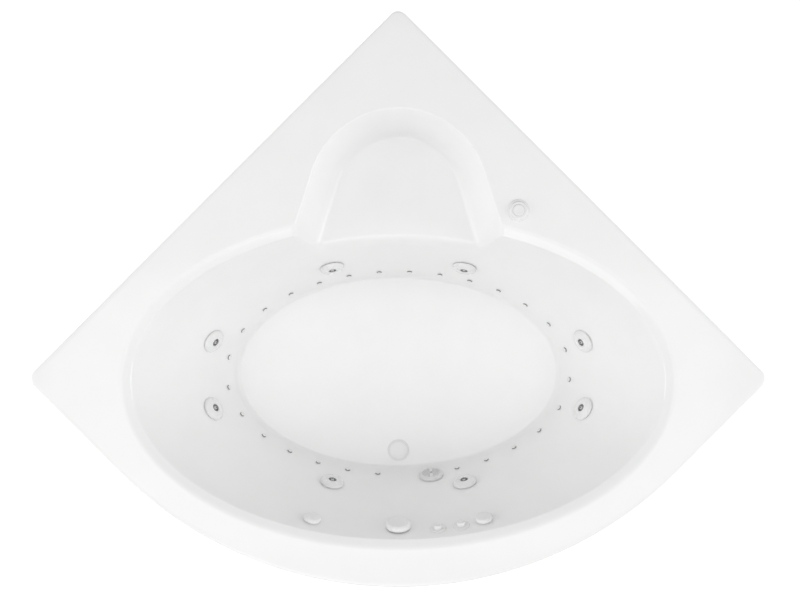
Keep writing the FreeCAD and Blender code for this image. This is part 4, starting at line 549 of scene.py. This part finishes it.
cap_outline = [(0, 1.2), (8, 1.2, 0.1), (8, 1.7, 0, "sill"), (7.9, 1.75, 0, "slot"), (7.9, 3.6, 0, "slot"),
               (7.4, 3.7, 0, "lip"), (5.6, 4.8, 0.3), (2.4, 5.0), (2.1, 4.75), (0, 4.75)]
injector_angles = even_angles(injector_depth, injector_first, injector_last, injector_count)
injector_spots = [wall_spot(angle, injector_depth) for angle in injector_angles]
# The slot and its sill take the grey finish: painted shade for the dark gap under each cap.
air_caps = turned_mesh("air_caps", cap_outline, injector_spots, 48, {"slot": slot_side, "lip": drawn_lip},
                       {"slot": slot_painted_shade, "sill": slot_painted_shade}, steps=3)
placed("air_caps_shown", air_caps, [fitting_white, painted_shade_grey],
       "root", "white_plastic", "air_injector_caps")

# ------------------------------------------------------------------ suction
# The guarded suction by the drain: a domed grille of pale grey plastic, full of small
# holes and with a white bar across it, held to its wall body by one plated screw.
grille_grey = moulded("grille_plastic", deep=(0.76, 0.76, 0.76), pale=(0.81, 0.81, 0.81),
                      gloss=(0.30, 0.42), texture=140.0, relief=0.08)


def dressed(node, finish):
    """Gives a CAD piece its finish."""
    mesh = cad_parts[node].data
    mesh.materials.clear()
    mesh.materials.append(finish)


def metal(name, deep, pale, polish, stretch, relief=0.12):
    """Bare or plated metal: tone and polish vary along its drawing or turning marks."""
    finish, tree, shader = new_finish(name)
    shader.inputs["Metallic"].default_value = 1.0
    toned(tree, grain(tree, 30.0, 8.0, stretch), shader.inputs["Base Color"], deep, pale)
    ranged(tree, grain(tree, 60.0, 8.0, stretch), shader.inputs["Roughness"], *polish)
    raised(tree, grain(tree, 220.0, 4.0, stretch), shader, relief, 0.0004)
    return finish


def soft_box(mesh, low, high, edge):
    """A box with rounded edges added to a mesh under way."""
    made = bmesh.ops.create_cube(mesh, size=1.0)["verts"]
    for point in made:
        point.co = Vector([(a + b) / 2 + (b - a) * c for a, b, c in zip(low, high, point.co)])
    edges = {item for point in made for item in point.link_edges}
    bmesh.ops.bevel(mesh, geom=list(edges), offset=edge, segments=3, profile=0.5, affect="EDGES")


dressed("suction_cover", grille_grey)
plated_steel = metal("plated_steel", deep=(0.55, 0.55, 0.56), pale=(0.68, 0.68, 0.69),
                     polish=(0.20, 0.36), stretch=(1, 1, 6))
dressed("screws", plated_steel)
bar_reach, bar_gap, bar_half, bar_edge = 0.0300, 0.0062, 0.0042, 0.0007
bar_low, bar_high = 0.0129, 0.0146
bar = bmesh.new()
soft_box(bar, (-bar_half, -bar_reach, bar_low), (bar_half, -bar_gap, bar_high), bar_edge)
soft_box(bar, (-bar_half, bar_gap, bar_low), (bar_half, bar_reach, bar_high), bar_edge)
bmesh.ops.transform(bar, matrix=suction_spot, verts=bar.verts)
bar_mesh = bpy.data.meshes.new("suction_bar")
bar.to_mesh(bar_mesh)
bar.free()
placed("suction_bar", bar_mesh, [fitting_white], "root", "white_plastic")

# ------------------------------------------------------------------ drain
# The waste: a dished flange bedded on the basin floor and a domed stopper that the
# overflow knob lifts off it, both moulded and bright-polished.
drain_white = moulded("drain_plastic", deep=(0.88, 0.88, 0.88), pale=(0.91, 0.91, 0.91),
                      gloss=(0.16, 0.24), texture=110.0, relief=0.04)
flange_outline = [(4.1, -24), (19, -24), (19, 0.6, 0.5), (21, 2.5, 0.6), (24, 2.9, 0.6), (32.2, 2.9, 1.0),
                  (35.3, 1.2, 0.6), (35.4, 0.25), (22, 0.25), (22, -44), (19, -44), (19, -28), (4.1, -28)]
placed("drain_flange_shown", turned_mesh("drain_flange", flange_outline, [drain_spot], 96),
       [drain_white], "root", "white_plastic", "drain_flange")
stopper_outline = [(0, -30), (4, -30), (4, 4), (29.6, 4, 0.3), (31, 4.9, 0.5), (31, 6.3, 0.8),
                   (28.2, 8.2, 1.0), (27.2, 8.0, 0.3), (26.4, 8.45, 0.4), (18, 9.6, 3.0), (8, 9.98), (0, 10)]
placed("drain_stopper_shown", turned_mesh("drain_stopper", stopper_outline, [drain_spot], 96),
       [drain_white], "stopper", "white_plastic", "drain_stopper")

# ------------------------------------------------------------------ overflow
# The overflow plate is also the knob that works the stopper: a deep round cap standing
# off the wall on its spindle, fluted a little round the edge, open behind for the water.
knob_outline = [(5, 6.5), (9, 6.5), (9, 16.5), (32.2, 16.5), (33, 15.8), (33, 4.6, 0.4),
                (36.6, 4.5, 0.5, "flute"), (37, 6.5, 0.6, "flute"), (36.6, 15.2, 1.6, "flute"),
                (31.6, 20.1, 1.8), (30.2, 20.4, 0.5), (29.4, 19.9, 0.3), (28.4, 20.3, 0.4),
                (10, 20.5), (0, 20.5), (0, 16.5), (5, 16.5)]
flute_count, flute_depth = 36, 0.45


def fluted(angles, out, up):
    """Narrow flutes round the edge of a knob."""
    return out - flute_depth * (0.5 + 0.5 * np.cos(flute_count * angles)) ** 4, up


spindle_outline = [(0, -59), (5, -59), (5, 16.4), (0, 16.4)]
overflow_cap = turned_mesh("overflow_cap", knob_outline, [overflow_spot], 216, {"flute": fluted})
placed("overflow_cap_shown", overflow_cap, [fitting_white],
       "overflow_turner", "white_plastic", "overflow_knob")
placed("overflow_spindle_shown", turned_mesh("overflow_spindle", spindle_outline, [overflow_spot], 24),
       [plated_steel], "overflow_turner", "white_plastic", "overflow_knob")

# ------------------------------------------------------------------ air controls
# Two shallow knobs on the front wall that let air into the jets, each a white moulded
# disc, fluted round its edge, with a fine groove round its face.
air_knob_outline = [(0, -10.5), (10.6, -10.5), (10.6, 3.5, 0.4), (25.0, 3.5, 0.4), (26, 4.6, 0.6, "flute"),
                    (25.8, 11.4, 1.2, "flute"), (22.2, 15.1, 1.6), (21.0, 15.3, 0.4), (20.2, 14.8, 0.3),
                    (19.4, 15.2, 0.4), (15, 15.4, 1.2), (0, 15.5)]
for hand, spot in air_knob_spots.items():
    air_knob = turned_mesh("air_knob", air_knob_outline, [spot], 144, {"flute": fluted})
    placed(f"air_knob_{hand}_shown", air_knob, [fitting_white],
           f"air_knob_{hand}", "white_plastic", f"air_control_knob_{hand}")

# ------------------------------------------------------------------ push buttons
# Three air buttons: two stand proud on the front wall in round flanges, and a larger one
# sits in a raised bezel on the deck. White moulded plastic with dished faces.
def button_outline(radius, proud, length):
    """A round plunger whose face stands proud of the wall and is dished in the middle."""
    return [(0, proud - length), (radius, proud - length), (radius, proud - 1.6, 0.8),
            (radius - 1.5, proud, 0.7), (radius * 0.62, proud, 0.6), (radius * 0.5, proud - 0.7, 0.6),
            (0, proud - 1.0)]


def housing_outline(bore, flange, seal, thick, barrel, depth, collar, floor=3):
    """A flanged cup behind a button: its flange lies on a seal, its barrel goes through the wall."""
    return [(bore, seal + thick, 0)] + collar + [
        (flange - 0.4, seal + thick - 0.5, 0.4), (flange, seal + 0.2, 0.2), (flange, seal), (barrel, seal),
        (barrel, -depth), (0, -depth), (0, floor - depth), (bore, floor - depth)]


wall_radius, deck_radius, button_play = 12.5, 17, 0.4
wall_button = button_outline(wall_radius, proud=15, length=27)
deck_button = button_outline(deck_radius, proud=11, length=27)
for name, spot in wall_button_spots.items():
    placed(f"{name}_shown", turned_mesh(name, wall_button, [spot], 72), [fitting_white],
           f"{name}_body", "white_plastic", name)
placed("deck_button_shown", turned_mesh("deck_button", deck_button, [deck_spot], 80), [fitting_white],
       "deck_button_body", "white_plastic", "deck_button")
wall_collar = [(14.5, 3.4, 0.4), (15.2, 3.9, 0.3), (16.4, 3.4, 0.4), (22, 3.4, 0.6)]
wall_housing = housing_outline(wall_radius + button_play, flange=24, seal=0.8, thick=2.6, barrel=16,
                               depth=34, collar=wall_collar)
deck_collar = [(17.4, 9, 0.3), (24, 9, 1.2), (27, 5, 1.4), (27, 3.6, 0.4), (30.4, 3.2, 0.4)]
deck_housing = housing_outline(deck_radius + button_play, flange=32, seal=0.2, thick=3, barrel=22,
                               depth=42, collar=deck_collar)
placed("wall_housings_shown",
       turned_mesh("wall_housings", wall_housing, list(wall_button_spots.values()), 72),
       [fitting_white], "root", "white_plastic", "button_housings")
placed("deck_housing_shown", turned_mesh("deck_housing", deck_housing, [deck_spot], 96),
       [fitting_white], "root", "white_plastic", "button_housings")

# ------------------------------------------------------------------ lock nuts
# Black ribbed nuts that pull each fitting up against the back of the shell, and the pale
# rubber gaskets that the fittings are pulled down on.
black_moulding = moulded("black_moulding", deep=(0.018, 0.018, 0.019), pale=(0.034, 0.034, 0.035),
                         gloss=(0.38, 0.55), texture=160.0, relief=0.18)


def ribbed(count, depth, sharpness):
    """A form that cuts even grooves into a turned piece, and so leaves ribs between them."""
    def form(angles, out, up):
        return out - depth * np.clip(0.5 + sharpness * np.cos(count * angles), 0, 1), up
    return form


def nut_outline(bore, outer):
    """A round nut with a ribbed grip and a plain flange towards the shell."""
    return [(bore, -14.4), (outer - 2.4, -14.4, 0.5), (outer, -12.6, 0.4, "rib"), (outer, -8.2, 0.3, "rib"),
            (outer, -7.6, 0.2), (outer, -6.45, 0.2), (bore, -6.45)]


nut_ribs = ribbed(count=16, depth=2.2, sharpness=2.4)
# Each kind's bore, outer radius and places.
nut_kinds = [(22.6, 34, jet_spots), (27.6, 40, [suction_spot]),
             (16.6, 24, list(wall_button_spots.values())), (22.6, 30, [deck_spot])]
for kind, (bore, outer, spots) in enumerate(nut_kinds):
    nuts = turned_mesh("lock_nuts", nut_outline(bore, outer), spots, 128, {"rib": nut_ribs}, steps=2)
    placed(f"lock_nuts_shown_{kind}", nuts, [black_moulding], "root", "black_plastic", "lock_nuts")
rubber = moulded("gasket_rubber", deep=(0.52, 0.52, 0.51), pale=(0.62, 0.62, 0.61),
                 gloss=(0.62, 0.80), texture=260.0, relief=0.30)
dressed("seals", rubber)

# ------------------------------------------------------------------ pipes
# Rigid white pipe for the water and for the jets' air, welded at its sockets, and a
# greyer, softer hose for the blower's air.
pipe_white = moulded("pipe_plastic", deep=(0.66, 0.66, 0.63), pale=(0.74, 0.74, 0.71),
                     gloss=(0.34, 0.48), texture=80.0, relief=0.08)
air_hose = moulded("air_hose_plastic", deep=(0.48, 0.52, 0.53), pale=(0.57, 0.61, 0.61),
                   gloss=(0.42, 0.55), texture=90.0, relief=0.12)
for node in ("jet_bodies", "air_injector_bodies", "water_manifold", "suction_housing", "pump_unions",
             "suction_pipe", "discharge_pipe", "drain_shoe", "waste_tee", "overflow_body", "overflow_pipe",
             "jet_air_line", "air_control_bodies"):
    dressed(node, pipe_white)
for node in ("air_ring", "blower_pipe"):
    dressed(node, air_hose)

# ------------------------------------------------------------------ pump
# A bath pump: black moulded volute, an enamelled motor case with cooling ribs and a
# slotted fan cowl, standing on a bent steel bracket, and a steel-jacketed heater beside it.
enamel = moulded("motor_enamel", deep=(0.030, 0.034, 0.040), pale=(0.046, 0.050, 0.058),
                 gloss=(0.28, 0.42), texture=300.0, relief=0.20)
sheet_steel = metal("sheet_steel", deep=(0.52, 0.52, 0.53), pale=(0.58, 0.58, 0.59),
                    polish=(0.34, 0.42), stretch=(1, 8, 1), relief=0.03)
motor_low, motor_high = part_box("pump_motor")
motor_length = (motor_high.y - motor_low.y) * 1000
motor_radius = (motor_high.x - motor_low.x) / 2 * 1000
motor_end = ((motor_low.x + motor_high.x) / 2, motor_low.y, (motor_low.z + motor_high.z) / 2)
motor_spot = Matrix.Translation(motor_end) @ Matrix.Rotation(math.radians(-90), 4, "X")


def slotted(count, depth):
    """A form that sinks radial slots into the end of a turned piece."""
    def form(angles, out, up):
        return out, up - depth * np.clip(0.5 + 3 * np.cos(count * angles), 0, 1)
    return form


motor_outline = [
    (0, 3), (motor_radius - 4, 3), (motor_radius - 2, 0, 1.0), (motor_radius, 1.5, 1.0),
    (motor_radius, 9, 1.5), (motor_radius - 6, 13, 2.0), (motor_radius - 5, 16, 0.5),
    (motor_radius - 0.2, 20, 0.8, "ribs"), (motor_radius - 0.2, motor_length - 72, 0.8, "ribs"),
    (motor_radius - 5, motor_length - 66, 0.5), (motor_radius - 6, motor_length - 60, 1.0),
    (motor_radius - 6, motor_length - 56, 0.5), (motor_radius - 0.6, motor_length - 54, 1.0),
    (motor_radius - 0.6, motor_length - 12, 6.0), (motor_radius - 12, motor_length - 0.5, 4.0),
    (motor_radius - 15, motor_length - 1, 0, "slots"), (22, motor_length - 1, 0, "slots"),
    (18, motor_length - 0.5, 0.5), (0, motor_length)]
motor_forms = {"ribs": ribbed(count=36, depth=4.5, sharpness=1.8), "slots": slotted(count=20, depth=5.0)}
placed("motor_case_shown", turned_mesh("motor_case", motor_outline, [motor_spot], 360, motor_forms, steps=3),
       [enamel], "root", "motor_paint", "pump_motor")
dressed("pump_volute", black_moulding)
dressed("pump_rotor", plated_steel)
dressed("pump_bearings", plated_steel)
dressed("pump_bracket", sheet_steel)
dressed("inline_heater", sheet_steel)

# ------------------------------------------------------------------ blower
# The air blower: a ribbed black drum on the base, moulded in two halves, with its intake
# in a slotted top.
blower_low, blower_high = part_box("blower_housing")
drum_radius = (blower_high.y - blower_low.y) / 2 * 1000
drum_height = (blower_high.z - blower_low.z) * 1000
drum_foot = (blower_low.x + drum_radius / 1000, (blower_low.y + blower_high.y) / 2, blower_low.z)
drum_outline = [
    (0, 0), (drum_radius - 2, 0, 1.0), (drum_radius, 2, 1.0), (drum_radius, 8, 1.5),
    (drum_radius - 3, 10, 1.0), (drum_radius - 0.2, 14, 0.8, "ribs"),
    (drum_radius - 0.2, drum_height * 0.46, 0.8, "ribs"), (drum_radius - 3, drum_height * 0.48, 0.6),
    (drum_radius, drum_height * 0.50, 1.0), (drum_radius, drum_height * 0.55, 1.0),
    (drum_radius - 3, drum_height * 0.57, 0.6), (drum_radius - 0.2, drum_height * 0.59, 0.8, "ribs"),
    (drum_radius - 0.2, drum_height - 24, 0.8, "ribs"), (drum_radius - 4, drum_height - 18, 2.0),
    (drum_radius - 6, drum_height - 6, 5.0), (drum_radius - 18, drum_height, 4.0),
    (drum_radius - 22, drum_height - 0.5, 0, "slots"), (42, drum_height - 0.5, 0, "slots"),
    (38, drum_height, 0.5), (34, drum_height, 1.0), (32.4, drum_height - 4, 0.6), (0, drum_height - 5)]
drum_forms = {"ribs": ribbed(count=24, depth=2.6, sharpness=2.2), "slots": slotted(count=28, depth=4.0)}
blower_spot = Matrix.Translation(drum_foot)
blower_drum = turned_mesh("blower_drum", drum_outline, [blower_spot], 288, drum_forms, steps=3)
placed("blower_drum_shown", blower_drum, [black_moulding], "root", "black_plastic", "blower_housing")
dressed("blower_rotor", black_moulding)
dressed("blower_motor", sheet_steel)

# ------------------------------------------------------------------ base
# Rough plywood and battens: a board that the bath stands on, four blocks under the
# basin floor and four bonded stiffeners under the deck.
ply_thickness, glue_line = 0.0013, 0.00022
glue_tint = (0.45, 0.42, 0.4)


def timber(name, deep, pale, stretch):
    """Rotary-cut ply: long grain with darker growth lines, and glue lines on sawn edges."""
    finish, tree, shader = new_finish(name)
    rings = tree.nodes.new("ShaderNodeTexWave")
    rings.wave_type = "RINGS"
    rings.inputs["Scale"].default_value = 2.2
    rings.inputs["Distortion"].default_value = 9.0
    rings.inputs["Detail"].default_value = 4.0
    rings.inputs["Detail Scale"].default_value = 1.6
    tree.links.new(drawn_out(tree, stretch), rings.inputs["Vector"])
    place = tree.nodes.new("ShaderNodeSeparateXYZ")
    tree.links.new(drawn_out(tree, (1, 1, 1)), place.inputs["Vector"])
    in_ply = worked(tree, "PINGPONG", place.outputs["Z"], ply_thickness)
    # A mix takes its share at entry 0, plain numbers at 2 and 3, and colours at 6 and 7.
    mix = tree.nodes.new("ShaderNodeMix")
    mix.data_type = "RGBA"
    mix.inputs[7].default_value = (*[tone * tint for tone, tint in zip(deep, glue_tint)], 1)
    tree.links.new(worked(tree, "LESS_THAN", in_ply, glue_line), mix.inputs[0])
    toned(tree, rings.outputs["Fac"], mix.inputs[6], deep, pale, 0.0, 1.0)
    tree.links.new(mix.outputs[2], shader.inputs["Base Color"])
    ranged(tree, grain(tree, 50.0, 6.0), shader.inputs["Roughness"], 0.55, 0.75)
    raised(tree, grain(tree, 120.0, 6.0, stretch), shader, 0.35, 0.0008)
    return finish


board_ply = timber("board_plywood", deep=(0.50, 0.36, 0.21), pale=(0.68, 0.52, 0.34),
                   stretch=(0.7, 6.0, 1.0))
batten_ply = timber("batten_plywood", deep=(0.47, 0.33, 0.19), pale=(0.64, 0.48, 0.31),
                    stretch=(5.0, 1.0, 1.0))
dressed("base_board", board_ply)
dressed("cradle_risers", batten_ply)
dressed("deck_stiffeners", batten_ply)

# ------------------------------------------------------------------ control box
# A grey moulded case on the base, with seven short ribs low on its front, a lid held by
# four screws and a black gland for the supply.
case_grey = moulded("case_plastic", deep=(0.27, 0.28, 0.29), pale=(0.33, 0.34, 0.35),
                    gloss=(0.36, 0.50), texture=200.0, relief=0.22)
case_low, case_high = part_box("control_box")
lid_height, lid_overhang, half_seam, tongue = 0.026, 0.001, 0.0008, 0.004
case_edge, lid_edge, tongue_edge, rib_edge = 0.004, 0.005, 0.001, 0.0008
lid_level = case_high.z - lid_height
case = bmesh.new()
soft_box(case, (case_low.x + lid_overhang, case_low.y + lid_overhang, case_low.z),
         (case_high.x - lid_overhang, case_high.y - lid_overhang, lid_level - half_seam), case_edge)
soft_box(case, (case_low.x, case_low.y, lid_level + half_seam), case_high, lid_edge)
soft_box(case, (case_low.x + tongue, case_low.y + tongue, lid_level - tongue),
         (case_high.x - tongue, case_high.y - tongue, lid_level + tongue), tongue_edge)
rib_count, rib_first, rib_step, rib_width = 7, 0.034, 0.0165, 0.004
rib_low, rib_high, rib_front, rib_back = 0.012, 0.028, 0.0002, 0.003
for rib in range(rib_count):
    left = case_low.x + rib_first + rib * rib_step
    soft_box(case, (left, case_low.y + rib_front, case_low.z + rib_low),
             (left + rib_width, case_low.y + rib_back, case_low.z + rib_high), rib_edge)
case_mesh = bpy.data.meshes.new("control_case")
case.to_mesh(case_mesh)
case.free()
placed("control_case_shown", case_mesh, [case_grey], "root", "grey_plastic", "control_box")
lid_screw = [(0, -0.5), (4.0, -0.5), (4.0, 0.2, 0.4), (2.6, 0.9, 0.4), (1.2, 0.9), (1.0, -0.2), (0, -0.2)]
screw_inset, screw_sink = 0.012, 0.0009
lid_corners = [Matrix.Translation((x, y, case_high.z - screw_sink))
               for x in (case_low.x + screw_inset, case_high.x - screw_inset)
               for y in (case_low.y + screw_inset, case_high.y - screw_inset)]
placed("lid_screws", turned_mesh("lid_screws", lid_screw, lid_corners, 24), [plated_steel], "root", "steel")
dressed("cable_gland", black_moulding)

# ------------------------------------------------------------------ studio
# A plain pale floor, a white surround that is brighter overhead, to the sides and towards
# the front, one broad soft panel overhead and a large soft lamp at the front, left and right.
floor_edge = 7.0
floor_level = -0.0005    # a little under the base board, so that the two don't share a face
floor_glow = 0.50
floor_finish, floor_tree, floor_shader = new_finish("studio_floor")
floor_shader.inputs["Base Color"].default_value = (0.80, 0.80, 0.80, 1)
floor_shader.inputs["Roughness"].default_value = 0.9
floor_shader.inputs["Emission Color"].default_value = (1, 1, 1, 1)
floor_seen = floor_tree.nodes.new("ShaderNodeLightPath")
looked_at = worked(floor_tree, "MAXIMUM", floor_seen.outputs["Is Camera Ray"],
                   floor_seen.outputs["Is Glossy Ray"])
floor_tree.links.new(worked(floor_tree, "MULTIPLY", looked_at, floor_glow),
                     floor_shader.inputs["Emission Strength"])
floor_mesh = bpy.data.meshes.new("studio_floor")
floor_mesh.from_pydata([(-floor_edge, -floor_edge, floor_level), (floor_edge, -floor_edge, floor_level),
                        (floor_edge, floor_edge, floor_level), (-floor_edge, floor_edge, floor_level)],
                       [], [(0, 1, 2, 3)])
floor_mesh.materials.append(floor_finish)
studio_floor = bpy.data.objects.new("studio_floor", floor_mesh)
bpy.context.scene.collection.objects.link(studio_floor)

middle_glow, north_glow, side_glow, top_glow = 0.285, -0.045, 0.24, 0.50
surround = bpy.data.worlds.new("studio_surround")
bpy.context.scene.world = surround
surround.use_nodes = True
sky = surround.node_tree
toward = sky.nodes.new("ShaderNodeTexCoord")
heading = sky.nodes.new("ShaderNodeSeparateXYZ")
sky.links.new(toward.outputs["Generated"], heading.inputs["Vector"])
east, north, up = heading.outputs
glow = worked(sky, "MULTIPLY_ADD", north, north_glow, middle_glow)
glow = worked(sky, "MULTIPLY_ADD", worked(sky, "ABSOLUTE", east), side_glow, glow)
glow = worked(sky, "MULTIPLY_ADD", worked(sky, "MULTIPLY", up, up), top_glow, glow)
sky_seen = sky.nodes.new("ShaderNodeLightPath")
pick = sky.nodes.new("ShaderNodeMix")
pick.data_type = "FLOAT"
pick.inputs[3].default_value = 1.0
sky.links.new(sky_seen.outputs["Is Camera Ray"], pick.inputs[0])
sky.links.new(glow, pick.inputs[2])
sky.links.new(pick.outputs[0], sky.nodes["Background"].inputs["Strength"])
sky.nodes["Background"].inputs["Color"].default_value = (1, 1, 1, 1)

panel = bpy.data.lights.new("overhead_panel", "AREA")
panel.shape = "RECTANGLE"
panel.size, panel.size_y = 5.0, 2.1
panel.energy = 31
overhead_panel = bpy.data.objects.new("overhead_panel", panel)
overhead_panel.location = (-0.1, -0.84, 5.6)
bpy.context.scene.collection.objects.link(overhead_panel)

lamp_aim = Vector((0, -0.25, 0.4))
# Each lamp's name, place, size and power.
for lamp_name, lamp_place, lamp_size, lamp_power in (("front_lamp", (-0.6, -3.0, 3.6), 2.2, 23),
                                                     ("left_lamp", (-5.2, -0.7, 2.0), 2.8, 70),
                                                     ("right_lamp", (5.2, -0.7, 2.0), 2.8, 78)):
    lamp = bpy.data.lights.new(lamp_name, "AREA")
    lamp.size, lamp.energy = lamp_size, lamp_power
    stand = bpy.data.objects.new(lamp_name, lamp)
    stand.location = lamp_place
    stand.rotation_euler = (lamp_aim - stand.location).to_track_quat("-Z", "Y").to_euler()
    bpy.context.scene.collection.objects.link(stand)

# The view straight down on the bath, with the wall corner at the top of the picture.
camera = bpy.data.cameras.new("view_from_above")
camera.lens, camera.sensor_width = 50.0, 36.0
view_from_above = bpy.data.objects.new("view_from_above", camera)
view_from_above.location = (0.0052, -0.0023, 3.798)
bpy.context.scene.collection.objects.link(view_from_above)
bpy.context.scene.camera = view_from_above
bpy.context.scene.view_settings.view_transform = "Standard"
